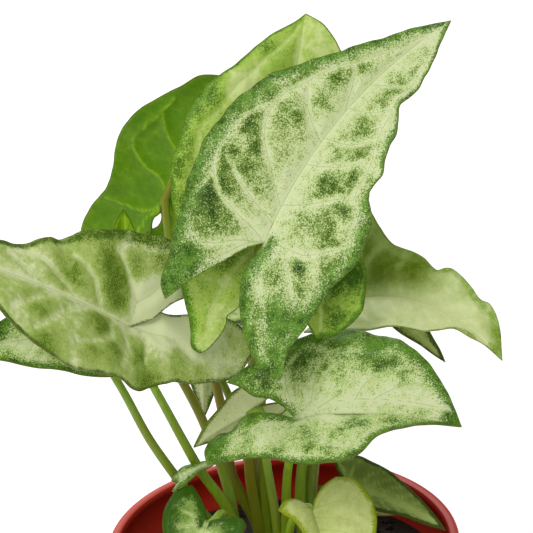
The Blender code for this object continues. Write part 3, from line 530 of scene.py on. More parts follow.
# How speckled a half is, where it isn't fully, as (t, share): 0 is a smooth wash of green
GRAIN = {
    "blade_left": dict(left=[(-0.7, 0.8), (-0.2, 0.4), (0, 0.15)],
                       right=[(-0.15, 1.0), (0.05, 0.4), (0.4, 0.3)]),
    # blade_right stays a smooth wash, which keeps its far half's painted shade even.
    "blade_right": dict(left=[(0, 0.0)], right=[(0, 0.0)]),
    "blade_upper_left": dict(left=[(0, 0.0)], right=[(0, 0.0)]),
    "blade_behind": dict(left=[(0.45, 0.9), (0.7, 0.3)], right=[(0, 0.25)]),
    "blade_new": dict(left=[(0, 0.6)], right=[(0, 0.6)]),
    "blade_pot_left": dict(left=[(0, 0.3)], right=[(0, 0.3)]),
    "blade_pot_right": dict(left=[(0, 0.1)], right=[(0, 0.1)]),
}

# Leaf looks: vein cream, pale ground, mid and dark green, margin band, underside, then how green and how
# mottled the ground is, the band's usual width, how far in mm and how strongly (vein_pale) the veins keep
# it clear, and how strong the painted shade of the groove down each vein and the midrib is (groove_shade)
LEAF_LOOKS = {
    "cream_green": dict(cream="#CED6A8", ground="#C4D096", mid="#7C9A3A", dark="#23430C", band="#6E9A36",
                        under="#A3B86A", green=0.26, mottle=1.0, width=2.6, rib_clear=4.0, vein_clear=1.5),
    "light_green": dict(cream="#C8D68C", ground="#AAC458", mid="#8EB23C", dark="#365C06", band="#6A9A24",
                        under="#9DB85A", green=0.38, mottle=0.9, width=1.2, rib_clear=2.0, vein_clear=1.1),
    # satin_green's olive mid and dark are also the colours of blade_right's painted shade.
    "satin_green": dict(cream="#CCD49C", ground="#BCCB84", mid="#688010", dark="#4A6200", band="#7EA02C",
                        under="#56741A", green=0.02, mottle=0.35, width=1.2, rib_clear=3.5, vein_clear=1.0,
                        vein_pale=0.15, groove_shade=0.1),
    "soft_green": dict(cream="#DBE2B0", ground="#B6C874", mid="#86A03C", dark="#4C680E", band="#3C6010",
                       under="#9CB060", green=0.3, mottle=0.7, width=1.6, rib_clear=2.2, vein_clear=1.7,
                       groove_shade=0.3),
    # pale_green's cream and ground are the leaves' pale colours darkened a step, as painted shade in the dip
    # by blade_lower_right's junction; the step falls on every pale_green leaf.
    "pale_green": dict(cream="#C8D0A0", ground="#B8C884", mid="#6C9034", dark="#284604", band="#608C26",
                       under="#A2B862", green=0.12, mottle=1.0, width=2.2, rib_clear=5.0, vein_clear=1.2,
                       vein_pale=0.5),
    "mid_green": dict(cream="#CCDA98", ground="#ACC46E", mid="#76983A", dark="#365C0E", band="#4C781A",
                      under="#98B058", green=0.4, mottle=1.0, width=2.2, rib_clear=3.0, vein_clear=1.3),
    "deep_green": dict(cream="#94B824", ground="#528000", mid="#487400", dark="#3C6400", band="#4A7400",
                       under="#4E7A00", green=0.3, mottle=0.3, width=0.5, rib_clear=0.8, vein_clear=0.5,
                       groove_shade=0.0),
    "new_green": dict(cream="#C2CC84", ground="#A8B05C", mid="#98A82A", dark="#84980C", band="#8EA00C",
                      under="#ACBA54", green=0.05, mottle=0.5, width=1.8, rib_clear=3.0, vein_clear=1.0),
    "dark_green": dict(cream="#C6D690", ground="#A4BA68", mid="#4E7A14", dark="#2A5006", band="#365C0C",
                       under="#80A044", green=0.55, mottle=0.8, width=6.6, rib_clear=4.4, vein_clear=0.6),
    "olive": dict(cream="#A8B868", ground="#8C9E4C", mid="#4E6620", dark="#3A5014", band="#3A4E12",
                  under="#687A10", green=0.55, mottle=0.4, width=1.6, rib_clear=2.6, vein_clear=0.6,
                  groove_shade=0.15),
    "husk": dict(cream="#D6CA90", ground="#C8BC7C", mid="#B6AC60", dark="#A09844", band="#A8AC3C",
                 under="#CABE80", green=0.3, mottle=0.8, width=0.8, rib_clear=1.0, vein_clear=0.6),
}

# How each stalk is coloured: 0 is brown, 0.5 leaf green, and more is the yellow green of new growth
STALK_TONES = {
    "blade_front": 0.22, "blade_behind": 0.3, "blade_upper_left": 0.2, "blade_left": 0.48,
    "blade_left_low": 0.42, "blade_right": 0.6, "blade_right_back": 0.4, "blade_lower_right": 0.5,
    "blade_pale_low": 0.45, "blade_hanging": 0.22, "blade_new": 0.65, "blade_pot_left": 0.55,
    "blade_pot_right": 0.6, "blade_rim_left": 0.5,
}


def unit(v):
    v = np.array(v, float)
    return v / np.linalg.norm(v)


def bell(gap, reach):
    return np.exp(-((gap / reach) ** 2))


def smooth_line(points, places):
    """Points of a smooth curve through the given ones, at places from 0 to 1 along its chords."""
    points = np.array(points, float)
    steps = np.linalg.norm(np.diff(points, axis=0), axis=1)
    knots = np.concatenate([[0.0], np.cumsum(steps)]) / steps.sum()
    slopes = np.gradient(points, knots, axis=0)
    i = np.clip(np.searchsorted(knots, places, side="right") - 1, 0, len(knots) - 2)
    width = (knots[i + 1] - knots[i])[:, None]
    t = (places - knots[i])[:, None] / width
    start = (2 * t**3 - 3 * t**2 + 1) * points[i] + (t**3 - 2 * t**2 + t) * width * slopes[i]
    end = (3 * t**2 - 2 * t**3) * points[i + 1] + (t**3 - t**2) * width * slopes[i + 1]
    return start + end, knots


def distances(points, line):
    """From each point to a line of short runs: how far, how far along it (0 to 1), and on which side."""
    best = np.full(len(points), np.inf)
    where = np.zeros(len(points))
    turn = np.ones(len(points))
    runs = len(line) - 1
    for i in range(runs):
        run = line[i + 1] - line[i]
        away = points - line[i]
        part = np.clip(away @ run / max(run @ run, 1e-12), 0, 1)
        gap = np.linalg.norm(away - part[:, None] * run, axis=1)
        nearer = gap < best
        best[nearer] = gap[nearer]
        where[nearer] = (i + part[nearer]) / runs
        turn[nearer] = np.where(away[:, 0] * run[1] - away[:, 1] * run[0] < 0, -1, 1)[nearer]
    return best, where, turn


def row_places(lobe_rows, main_rows):
    """t at each row of a half, from the lobe's tip to the leaf's tip."""
    return np.concatenate([np.linspace(-1, 0, lobe_rows + 1), np.linspace(0, 1, main_rows + 1)[1:]])


def lifted(points):
    """Points as (across, along, lift), with no lift where none is given."""
    return [(*point, 0)[:3] for point in points]


class Blade:
    """One blade's frame and the two rails of each half, between which its surface is ruled."""

    def __init__(self, name):
        self.name = name
        self.design = BLADES[name]
        self.junction = np.array(self.design["junction"], float)
        reach = np.array(self.design["tip"], float) - self.junction
        self.length = np.linalg.norm(reach)
        self.up = reach / self.length
        face = np.array(self.design["face"], float)
        self.normal = unit(face - (face @ self.up) * self.up)
        self.side = np.cross(self.up, self.normal)

    def place(self, hand, flat):
        """World places, in mm, of (across, along, lift) on the right half (hand 1) or the left (-1)."""
        across, along, lift = flat.reshape(-1, 3).T
        fold = math.radians(self.design["fold"][0 if hand < 0 else 1])
        out = hand * math.cos(fold) * self.side + math.sin(fold) * self.normal
        over = -hand * math.sin(fold) * self.side + math.cos(fold) * self.normal
        s = along / self.length
        rise = np.where(s < 0, 4 * s, 4 * s * (1 - s))
        shift = self.design["bow"] * self.side + self.design["arch"] * self.normal
        places = (self.junction + np.outer(along, self.up) + np.outer(rise, shift)
                  + np.outer(across, out) + np.outer(lift, over))
        return places.reshape(flat.shape)

    def rails(self, hand, lobe_rows, main_rows):
        """The inner edge (notch, then midrib) and the margin, row by row from lobe tip to tip."""
        name = "left" if hand < 0 else "right"
        outline = lifted(self.design[name] + [(0, self.length)])
        notch = lifted([outline[0], *self.design[name + "_notch"], (0, 0)])
        abreast = int(np.argmin([abs(p[1]) for p in outline[:-1]]))
        lobe = np.linspace(0, 1, lobe_rows + 1)
        main = np.linspace(0, 1, main_rows + 1)[1:]
        _, knots = smooth_line(outline, np.zeros(1))
        split = knots[abreast]
        margin, _ = smooth_line(outline, np.concatenate([lobe * split, split + main * (1 - split)]))
        inner, _ = smooth_line(notch, lobe)
        along = np.concatenate([[0], np.cumsum(np.linalg.norm(np.diff(margin, axis=0), axis=1))])
        waver = sum(share * np.sin(rate * along + turn * hand) for rate, turn, share in WAVER_WAVES)
        ends = np.sqrt(np.sin(math.pi * 0.999 * along / along[-1]))
        margin[:, 0] += WAVER.get(self.name, USUAL_WAVER) * waver * ends
        midrib = np.outer(main, (0, self.length, 0))
        return np.concatenate([inner, midrib]), margin

    def flat_places(self, hand, t, b):
        """(across, along) of places given as (t, b)."""
        inner, margin = self.rails(hand, *FINE_ROWS)
        rows = row_places(*FINE_ROWS)
        ends = [[np.interp(t, rows, rail[:, k]) for k in (0, 1)] for rail in (inner, margin)]
        return np.stack([ends[0][k] * (1 - b) + ends[1][k] * b for k in (0, 1)], axis=1)

    def trace(self, hand, line, count):
        """(across, along) of so many places along a smooth line of (t, b)."""
        line, _ = smooth_line(line, np.linspace(0, 1, count))
        return self.flat_places(hand, line[:, 0], np.clip(line[:, 1], 0, 1))


def usual_veins():
    """Side veins of a plain half: one down the lobe, six up the midrib, and the one that collects them."""
    veins = [[(0, 0), (-0.2, 0.2), (-0.5, 0.38), (-0.85, 0.5)], [(0, 0), (0.0, 0.4), (0.02, 0.8)]]
    for k in range(6):
        start = 0.08 + 0.12 * k
        veins.append([(start, 0), (start + 0.06, 0.35), (start + 0.12, 0.62), (start + 0.2, 0.84)])
    veins.append([(-0.7, 0.8), (-0.3, 0.85), (0, 0.86), (0.3, 0.86), (0.6, 0.84), (0.93, 0.7)])
    return veins


def vein_distances(blade, hand, points):
    """Distances in mm from the midrib and the nearest side vein, and how far off that vein's line."""
    side = "left" if hand < 0 else "right"
    lines = VEINS.get(blade.name, {})
    midrib = np.array([(0, 0), (0, blade.length)], float)
    if "rib" in lines:
        midrib = blade.trace(-1, lines["rib"], RIB_STEPS) * (-hand, 1)
    rib = distances(points, midrib)[0]
    vein = np.full(len(points), 99.0)
    offset = vein.copy()
    for line in lines.get(side) or usual_veins():
        gap, along, turn = distances(points, blade.trace(hand, line, VEIN_STEPS))
        gap = gap / (1 - VEIN_TAPER * along)
        nearer = gap < vein
        vein[nearer] = gap[nearer]
        offset[nearer] = (gap * turn)[nearer]
    return rib, vein, offset


def markings(blade, hand, points, t, notch_line, margin_line):
    """What the finish reads at each point of a half: distances in mm, and how green and grainy it is."""
    side = "left" if hand < 0 else "right"
    look = LEAF_LOOKS[blade.design["kind"]]
    rib, vein, offset = vein_distances(blade, hand, points)
    rib = rib + np.interp(t, RIB_ENDS_AT, (0, RIB_END))
    notch = distances(points, notch_line)[0]
    outer = distances(points, margin_line)[0]

    bands = BANDS.get(blade.name, {})
    width = np.interp(t, *np.array(bands.get(side, [(0, look["width"])])).T)
    notch_width = bands.get(side + "_notch", look["width"] * NOTCH_SHARE)
    band = BAND_CREST - BAND_FALL * np.minimum(outer / width, notch / notch_width)
    solid_to, speckled_to = bands.get(side + "_lobe", NO_LOBE)
    band = np.maximum(band, LOBE_END * (speckled_to - t) / (speckled_to - solid_to))
    green = np.full(len(points), look["green"])
    for t_at, b_at, reach, strength in PATCHES.get(blade.name, {}).get(side, []):
        centre = blade.flat_places(hand, np.array([t_at]), np.array([b_at]))
        spread = bell(np.linalg.norm(points - centre, axis=1), PATCH_SPREAD * reach)
        if strength > SOLID:
            band = np.maximum(band, strength * spread)
        if strength < 0:
            green = green + strength * spread
        else:
            green = np.maximum(green, look["green"] + PATCH_GREEN * strength * spread)
    clear = np.maximum(RIB_PALE * bell(rib, look["rib_clear"]),
                       look.get("vein_pale", USUAL_VEIN_PALE) * bell(vein, look["vein_clear"]))
    grain = np.interp(t, *np.array(GRAIN.get(blade.name, {}).get(side, [(0, 1.0)])).T)
    return dict(rib=rib, vein=vein, offset=offset, edge=np.minimum(notch, outer), green=green * (1 - clear),
                band=np.minimum(band, bands.get(side + "_cap", BAND_CAP)), grain=grain)


def half_sheet(blade, hand):
    """One half of a blade as a grid: world places, and what its finish reads at each, in mm."""
    design = blade.design
    outline = design["left" if hand < 0 else "right"]
    pitch = design["pitch"]
    lobe_rows = max(8, round(-min(p[1] for p in outline) * CURVE_SLACK / pitch))
    main_rows = round(blade.length * CURVE_SLACK / pitch)
    columns = round(max(p[0] for p in outline) / pitch)
    inner, margin = blade.rails(hand, lobe_rows, main_rows)
    a = np.linspace(0, 1, len(inner))[:, None]
    b = np.linspace(0, 1, columns + 1)[None, :]
    flat = inner[:, None, :] * (1 - b[:, :, None]) + margin[:, None, :] * b[:, :, None]
    breadth = np.linalg.norm(margin - inner, axis=1)[:, None] / blade.length
    cup = design["cup"] * 8 * b * (1 - b) * breadth
    size, waves, phase = design["ruffle"]
    ruffle = size * b**2 * np.sin(math.tau * waves * a + phase + hand) * np.sin(math.pi * a)

    points = flat[:, :, :2].reshape(-1, 2)
    t = np.repeat(row_places(lobe_rows, main_rows), columns + 1)
    values = markings(blade, hand, points, t, inner[:lobe_rows + 1, :2], margin[:, :2])
    rib, vein, edge = values["rib"], values["vein"], values["edge"]
    pucker = PUCKER * (1 - bell(np.minimum(rib, vein), PUCKER_REACH)) * (1 - bell(edge, PUCKER_EDGE))
    thinning = np.clip(1 - points[:, 1] / blade.length, 0.1, 1)
    swell = RIB_SWELL * bell(rib, RIB_REACH) * thinning + VEIN_SWELL * bell(vein, VEIN_REACH)
    values["swell"] = swell * (1 - bell(edge, SWELL_EDGE))
    flat[:, :, 2] += cup + ruffle + pucker.reshape(flat.shape[:2])
    return blade.place(hand, flat), values


def deselect():
    if bpy.context.object is not None and bpy.context.object.mode != "OBJECT":
        bpy.ops.object.mode_set(mode="OBJECT")
    bpy.ops.object.select_all(action="DESELECT")


def activate(*objects):
    deselect()
    for obj in objects:
        obj.select_set(True)
    bpy.context.view_layer.objects.active = objects[0]


def name_object(obj, name):
    obj.name = name
    obj.data.name = name


def grid(name, places, values=None, flip=False):
    """A primitive grid whose vertices are set row by row to places in mm, with named values at each."""
    rows, columns = places.shape[0] - 1, places.shape[1] - 1
    deselect()
    bpy.ops.mesh.primitive_grid_add(x_subdivisions=columns, y_subdivisions=rows, size=2)
    obj = bpy.context.object
    name_object(obj, name)
    co = np.empty(len(obj.data.vertices) * 3)
    obj.data.vertices.foreach_get("co", co)
    co = co.reshape(-1, 3)
    column = np.rint((co[:, 0] + 1) / 2 * columns).astype(int)
    row = np.rint((co[:, 1] + 1) / 2 * rows).astype(int)
    if flip:
        column = columns - column
    obj.data.vertices.foreach_set("co", (places[row, column] * MM).ravel())
    for key, value in (values or {}).items():
        layer = obj.data.attributes.new(key, "FLOAT", "POINT")
        layer.data.foreach_set("value", np.asarray(value, float).reshape(rows + 1, columns + 1)[row, column])
    obj.data.update()
    return obj


def join(objects, name):
    activate(*objects)
    if len(objects) > 1:
        bpy.ops.object.join()
    obj = bpy.context.object
    name_object(obj, name)
    return obj


def weld(obj, distance, closed=False, sides=0):
    """Welds vertices within a distance in mm. A closed form's normals are turned out, and where its ends are
    open, holes of up to so many sides are filled."""
    activate(obj)
    bpy.ops.object.mode_set(mode="EDIT")
    bpy.ops.mesh.select_all(action="SELECT")
    bpy.ops.mesh.remove_doubles(threshold=distance * MM)
    if closed:
        bpy.ops.mesh.select_all(action="SELECT")
        if sides:
            bpy.ops.mesh.fill_holes(sides=sides)
        bpy.ops.mesh.normals_make_consistent(inside=False)
    bpy.ops.object.mode_set(mode="OBJECT")


def dress(obj, *materials):
    obj.data.materials.clear()
    for mat in materials:
        obj.data.materials.append(mat)


def stand_for(obj, node):
    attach(obj, "root")
    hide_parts(node)


def linear(hex_colour):
    """An sRGB hex colour as the linear one that Blender's sockets hold."""
    channels = [int(hex_colour[i:i + 2], 16) / 255 for i in (1, 3, 5)]
    return (*[c / 12.92 if c <= 0.04045 else ((c + 0.055) / 1.055) ** 2.4 for c in channels], 1.0)


def fill(tree, node, sockets):
    """Fills a node's sockets, by name or in order, with values, hex colours or other nodes' outputs."""
    for key, value in sockets.items() if isinstance(sockets, dict) else enumerate(sockets):
        if isinstance(value, bpy.types.NodeSocket):
            tree.links.new(value, node.inputs[key])
        else:
            node.inputs[key].default_value = linear(value) if isinstance(value, str) else value


def add_node(tree, kind, settings=None, sockets=(), output=0, stops=()):
    """Adds a node with its settings, sockets and colour stops, and gives the output asked for."""
    made = tree.nodes.new("ShaderNode" + kind)
    for key, value in (settings or {}).items():
        setattr(made, key, value)
    fill(tree, made, sockets)
    if stops:
        elements = made.color_ramp.elements
        elements[0].position, elements[1].position = stops[0][0], stops[-1][0]
        for position, _ in stops[1:-1]:
            elements.new(position)
        for element, (_, colour) in zip(elements, stops):
            element.color = linear(colour)
    return made.outputs[output]


def new_material(name):
    """An empty node material with its Principled shader."""
    mat = bpy.data.materials.new(name)
    mat.use_nodes = True
    tree = mat.node_tree
    return mat, tree, tree.nodes["Principled BSDF"]


def in_mm(tree):
    """Object coordinates in millimetres."""
    where = add_node(tree, "TexCoord", output="Object")
    return add_node(tree, "Mapping", None, {"Vector": where, "Scale": (1000, 1000, 1000)})


def leaf_material(kind, upper):
    """A living leaf: a waxy, satin skin over soft green tissue that passes some light."""
    look = LEAF_LOOKS[kind]
    groove_shade = look.get("groove_shade", USUAL_GROOVE_SHADE)
    mat, tree, shader = new_material(f"leaf_{kind}_{'face' if upper else 'underside'}")
    node = partial(add_node, tree)
    where = in_mm(tree)
    noise = {key: node("TexNoise", None, {"Vector": where, "Scale": scale, "Detail": 2.0, "Roughness": rough})
             for key, (scale, rough) in LEAF_NOISES.items()}
    rib, vein, offset, edge, green, band, grain = [
        node("Attribute", {"attribute_name": key}, output="Fac")
        for key in ("rib", "vein", "offset", "edge", "green", "band", "grain")
    ]

    # Cells of leaf tissue go green or stay pale one by one, in grains of about half a millimetre
    grains = node("Math", MULTIPLY_ADD, (noise["grain"], 3.0, -1.5))
    clouds = node("Math", ADD, (noise["cloud"], noise["wide"]))
    clouds = node("Math", MULTIPLY_ADD, (noise["fine"], 0.6, clouds))
    clouds = node("Math", SUBTRACT, (clouds, 0.3))
    density = node("Math", SUBTRACT, (green, look["mottle"]))
    density = node("Math", MULTIPLY_ADD, (clouds, look["mottle"], density))
    speckled = node("Math", MINIMUM, (density, 0.95))
    speckled = node("Math", ADD, (speckled, grains))
    speckled = node("MapRange", SMOOTH, (speckled, 0.26, 0.82))
    washed = node("MapRange", SMOOTH, (density, -0.1, 1.0))
    mottle = node("Mix", COLOURS, {0: grain, 6: washed, 7: speckled}, 2)
    ground = node("MapRange", SMOOTH, (density, -0.15, 0.45))
    ground = node("Mix", COLOURS, {0: ground, 6: look["cream"], 7: look["ground"]}, 2)
    deep = node("Math", MULTIPLY_ADD, (grains, 0.7, density))
    deep = node("MapRange", SMOOTH, (deep, 0.45, 1.35))
    deep = node("Mix", COLOURS, {0: deep, 6: look["mid"], 7: look["dark"]}, 2)

    # The green band along the margin breaks up into the same grains
    scatter = node("MapRange", SMOOTH, (grain, 0.0, 1.0, 0.2, 1.0))
    scatter = node("Math", MULTIPLY_ADD, (grains, scatter, band))
    margin = node("Math", ADD, (scatter, noise["margin"]))
    margin = node("MapRange", SMOOTH, (margin, 0.7, 1.35))
    darker = node("Math", MULTIPLY, (band, 0.35))
    darker = node("Math", MULTIPLY_ADD, (noise["shade"], 1.2, darker))
    darker = node("Math", MULTIPLY_ADD, (noise["grain"], 1.6, darker))
    darker = node("MapRange", SMOOTH, (darker, 1.3, 2.3))
    darker = node("Mix", COLOURS, {0: darker, 6: look["band"], 7: look["dark"]}, 2)

    # A pale midrib, painted shade of the groove down each vein and the midrib as a fine green line, and a dry
    # edge
    pale = node("MapRange", SMOOTH, (rib, 0.35, 1.3, 0.75, 0.0))
    off_line = node("Math", ABSOLUTE, (offset,))
    line = node("MapRange", SMOOTH, (off_line, 0.06, 0.24, groove_shade, 0.0))
    near_vein = node("MapRange", SMOOTH, (vein, 0.4, 0.8, 1.0, 0.0))
    line = node("Math", MULTIPLY, (line, near_vein))
    midrib_groove_shade = node("MapRange", SMOOTH, (rib, 0.08, 0.3, groove_shade, 0.0))
    line = node("Math", MAXIMUM, (line, midrib_groove_shade))
    dry = node("MapRange", SMOOTH, (edge, 0.1, 0.35, 0.4, 0.0))
    layers = [(mottle, deep), (margin, darker), (pale, look["cream"]), (line, look["mid"]), (dry, "#6E5A2C")]
    if not upper:
        raised = node("MapRange", SMOOTH, (vein, 0.1, 0.55, 0.6, 0.0))
        raised_rib = node("MapRange", SMOOTH, (rib, 0.4, 1.1, 0.6, 0.0))
        raised = node("Math", MAXIMUM, (raised, raised_rib))
        layers += [(0.7, look["under"]), (raised, look["cream"])]
    colour = ground
    for share, tint in layers:
        colour = node("Mix", COLOURS, {0: share, 6: colour, 7: tint}, 2)
    bump = node("Bump", None, {"Strength": 0.14, "Distance": 0.0001, "Height": noise["skin"]})
    fill(tree, shader, {
        "Base Color": colour, "Roughness": 0.45 if upper else 0.58,
        "Specular IOR Level": 0.12 if upper else 0.0, "Subsurface Weight": 0.15,
        "Subsurface Radius": (0.9, 1.0, 0.4), "Subsurface Scale": 0.0003, "Normal": bump,
    })
    return mat


def add_leaf(name, materials):
    """A blade: two grids joined at the midrib, thickened, with the veins raised underneath."""
    blade = Blade(name)
    halves = []
    for hand in (-1, 1):
        places, values = half_sheet(blade, hand)
        halves.append(grid(f"{name}_{hand}", places, values, flip=hand < 0))
    obj = join(halves, "leaf_" + name[len("blade_"):])
    weld(obj, MIDRIB_WELD)
    single = len(obj.data.vertices)
    thick = obj.modifiers.new("thickness", "SOLIDIFY")
    thick.thickness = LEAF_THICK * MM
    thick.offset = 0.0
    thick.material_offset = 1
    bpy.ops.object.modifier_apply(modifier=thick.name)
    mesh = obj.data
    count = len(mesh.vertices)
    co, normals, swell = np.empty(count * 3), np.empty(count * 3), np.empty(count)
    mesh.vertices.foreach_get("co", co)
    mesh.vertices.foreach_get("normal", normals)
    mesh.attributes["swell"].data.foreach_get("value", swell)
    swell[:single] = 0
    mesh.vertices.foreach_set("co", co + normals * np.repeat(swell, 3) * MM)
    mesh.attributes.remove(mesh.attributes["swell"])
    bpy.ops.object.shade_smooth()
    kind = blade.design["kind"]
    dress(obj, materials[kind, True], materials[kind, False])
    stand_for(obj, name)


def stalk_material():
    """A living leaf stalk: smooth, juicy and slightly glossy, green with olive and brown stretches."""
    mat, tree, shader = new_material("leaf_stalk")
    node = partial(add_node, tree)
    drawn_out = node("Mapping", None, {"Vector": in_mm(tree), "Scale": (1.1, 1.1, 0.05)})
    tone = node("Attribute", {"attribute_name": "tone"}, output="Fac")
    streak = node("TexNoise", None, {"Vector": drawn_out, "Scale": 1.0, "Detail": 3.0})
    shade = node("Math", MULTIPLY_ADD, (streak, 0.5, tone))
    colour = node("ValToRGB", None, (shade,), stops=[
        (0.25, "#86761A"), (0.42, "#7E8018"), (0.6, "#74921A"), (0.8, "#86A81E"), (1.0, "#A6C63C")])
    ridge = node("TexNoise", None, {"Vector": drawn_out, "Scale": 3.0, "Detail": 2.0})
    bump = node("Bump", None, {"Strength": 0.25, "Distance": 0.0002, "Height": ridge})
    fill(tree, shader, {
        "Base Color": colour, "Roughness": 0.38, "Specular IOR Level": 0.35, "Subsurface Weight": 0.25,
        "Subsurface Radius": (0.6, 1.0, 0.2), "Subsurface Scale": 0.0008, "Normal": bump,
    })
    return mat


def tube(name, line, radii, sides, tone):
    """A grid wrapped round a line, ring by ring, with its seam welded and its ends filled."""
    ways = np.gradient(line, axis=0)
    ways = ways / np.linalg.norm(ways, axis=1)[:, None]
    across = unit(np.cross(ways[0], SEAM_SIDE))
    angles = np.linspace(0, math.tau, sides + 1)
    rings = []
    for place, way, radius in zip(line, ways, radii):
        across = unit(across - (across @ way) * way)
        other = np.cross(way, across)
        rings.append(place + radius * (np.outer(np.cos(angles), across) + np.outer(np.sin(angles), other)))
    places = np.array(rings)
    tones = np.broadcast_to(np.reshape(tone, (-1, 1)), places.shape[:2])
    obj = grid(name, places, {"tone": tones})
    weld(obj, SEAM_WELD, closed=True, sides=sides)
    return obj


def add_stalk(blade_name, crown):
    """A tapering stalk from the mix up to its blade, where it runs out into the midrib's underside."""
    route = STALKS[blade_name][1]
    x, y = CROWNS[crown]
    blade = Blade(blade_name)
    seat = blade.junction - blade.normal * blade.design["seat"]
    neck = [] if blade.normal[1] > 0 else [seat - blade.normal * NECK_BACK - blade.up * NECK_DOWN]
    root = np.array([x, y, SOIL_TOP - STALK_ROOT])
    root[:2] += np.clip(np.array(route[0][:2]) - root[:2], -STALK_SPREAD, STALK_SPREAD)
    line = [root, root + (0, 0, STALK_FOOT), *route, *neck, seat]
    line, _ = smooth_line(line, np.linspace(0, 1, STALK_RINGS))
    left = 1 - np.linspace(0, 1, len(line))
    radii = STALK_TOP_RADIUS + (STALK_BASE_RADIUS - STALK_TOP_RADIUS) * left**2
    along, lift, share = np.array(RUN_OUT).T
    along = along * min(1, blade.length / FULL_RUN_OUT)
    line = np.concatenate([line, blade.place(1, np.stack([0 * along, along, lift], axis=1))])
    radii = np.concatenate([radii, STALK_TOP_RADIUS * share])
    rise = np.linspace(0, 1, len(line))
    tone = (STALK_TONES.get(blade_name, USUAL_TONE) + TONE_SWING * np.sin(3 * math.pi * rise + x)
            - TONE_FALL * (1 - rise))
    return tube(blade_name + "_stalk", line, radii, STALK_SIDES, tone)


def add_shoot(name, mat):
    """A crown with all its stalks."""
    line = np.array([(*CROWNS[name], height) for height, _ in CROWN_PROFILE])
    radii = [CROWN_RADIUS * share for _, share in CROWN_PROFILE]
    pieces = [tube(name + "_crown", line, radii, CROWN_SIDES, CROWN_TONE)]
    for blade_name, (crown, _) in STALKS.items():
        if crown == name:
            pieces.append(add_stalk(blade_name, name))
    obj = join(pieces, name.replace("shoot", "stalks"))
    bpy.ops.object.shade_smooth()
    dress(obj, mat)
    stand_for(obj, name)


def turned(radii, heights, turns):
    """Places of a profile turned about the pot's axis in so many steps, ending where it began."""
    angles = np.linspace(0, math.tau, turns + 1) % math.tau
    return np.stack([np.outer(radii, np.cos(angles)), np.outer(radii, np.sin(angles)),
                     np.outer(heights, np.ones(turns + 1))], axis=2)


def inner_radius(z):
    """The pot's inner radius up its tapering wall."""
    low = POT_BASE_RADIUS - POT_WALL + FOOT_FLARE
    high = POT_RIM_RADIUS - RIM_STEP - POT_WALL
    return low + (high - low) * (z - POT_FLOOR) / (POT_HEIGHT - RIM_BAND - POT_FLOOR)


def pot_material():
    """Injection-moulded polypropylene: satin, warm terracotta red, paler along the top of the rim, where wear
    and a painted highlight are laid on.
    """
    mat, tree, shader = new_material("moulded_polypropylene")
    node = partial(add_node, tree)
    where = in_mm(tree)
    cloud = node("TexNoise", None, {"Vector": where, "Scale": 0.05, "Detail": 3.0})
    red = node("ValToRGB", None, (cloud,), stops=[(0.3, "#B01C0E"), (0.7, "#BA2E1C")])
    height = node("SeparateXYZ", None, (where,), "Z")
    # Paler along the top of the rim: partly wear, partly a painted highlight of light catching the rim
    rim_wear_and_highlight = node("MapRange", SMOOTH, (height, POT_HEIGHT - 1.6, POT_HEIGHT - 0.1, 0.0, 0.14))
    rim_wear_and_highlight = node("Math", MULTIPLY, (rim_wear_and_highlight, cloud))
    colour = node("Mix", COLOURS, {0: rim_wear_and_highlight, 6: red, 7: "#C67C50"}, 2)
    grain = node("TexNoise", None, {"Vector": where, "Scale": 2.5, "Detail": 2.0})
    bump = node("Bump", None, {"Strength": 0.12, "Distance": 0.0001, "Height": grain})
    fill(tree, shader, {
        "Base Color": colour, "Roughness": 0.45, "Specular IOR Level": 0.24, "Subsurface Weight": 0.25,
        "Subsurface Radius": (1.0, 0.2, 0.1), "Subsurface Scale": 0.0015, "Normal": bump,
    })
    return mat


def add_pot(mat):
    """The pot: a thin tapering wall with a banded, rolled rim, turned in fine steps, and drain holes."""
    rim = POT_RIM_RADIUS
    top = POT_HEIGHT - RIM_BAND
    lip = rim - LIP_WIDTH
    profile = np.array([
        (0, POT_FLOOR), (inner_radius(POT_FLOOR) - 1, POT_FLOOR), (inner_radius(POT_FLOOR), POT_FLOOR + 1),
        (inner_radius(top), top), (rim - POT_WALL, top + 2), (rim - POT_WALL, POT_HEIGHT - 4),
        (lip, POT_HEIGHT - 2.2), (lip - 0.1, POT_HEIGHT - 1.2), (lip + 0.3, POT_HEIGHT - 0.3),
        (lip + 1, POT_HEIGHT), (rim - 0.8, POT_HEIGHT), (rim - 0.2, POT_HEIGHT - 0.25),
        (rim, POT_HEIGHT - 0.8), (rim, top + 0.8), (rim - 0.2, top + 0.2), (rim - RIM_STEP, top),
        (POT_BASE_RADIUS + 0.6, 1.5), (POT_BASE_RADIUS + FOOT_FLARE, 0.4), (POT_BASE_RADIUS, 0), (0, 0),
    ])
    obj = grid("nursery_pot", turned(*profile.T, POT_TURNS))
    weld(obj, SEAM_WELD, closed=True)
    for i in range(DRAIN_HOLES):
        angle = math.tau * i / DRAIN_HOLES
        place = Vector((DRAIN_CIRCLE * math.cos(angle), DRAIN_CIRCLE * math.sin(angle), 0)) * MM
        deselect()
        bpy.ops.mesh.primitive_cylinder_add(vertices=DRAIN_SIDES, radius=DRAIN_RADIUS * MM,
                                            depth=5 * POT_FLOOR * MM, location=place)
        cutter = bpy.context.object
        activate(obj)
        cut = obj.modifiers.new("drain", "BOOLEAN")
        cut.operation = "DIFFERENCE"
        cut.object = cutter
        bpy.ops.object.modifier_apply(modifier=cut.name)
        bpy.data.objects.remove(cutter, do_unlink=True)
    activate(obj)
    bpy.ops.object.shade_smooth_by_angle(angle=math.radians(SHARP_ANGLE))
    dress(obj, mat)
    stand_for(obj, "pot")


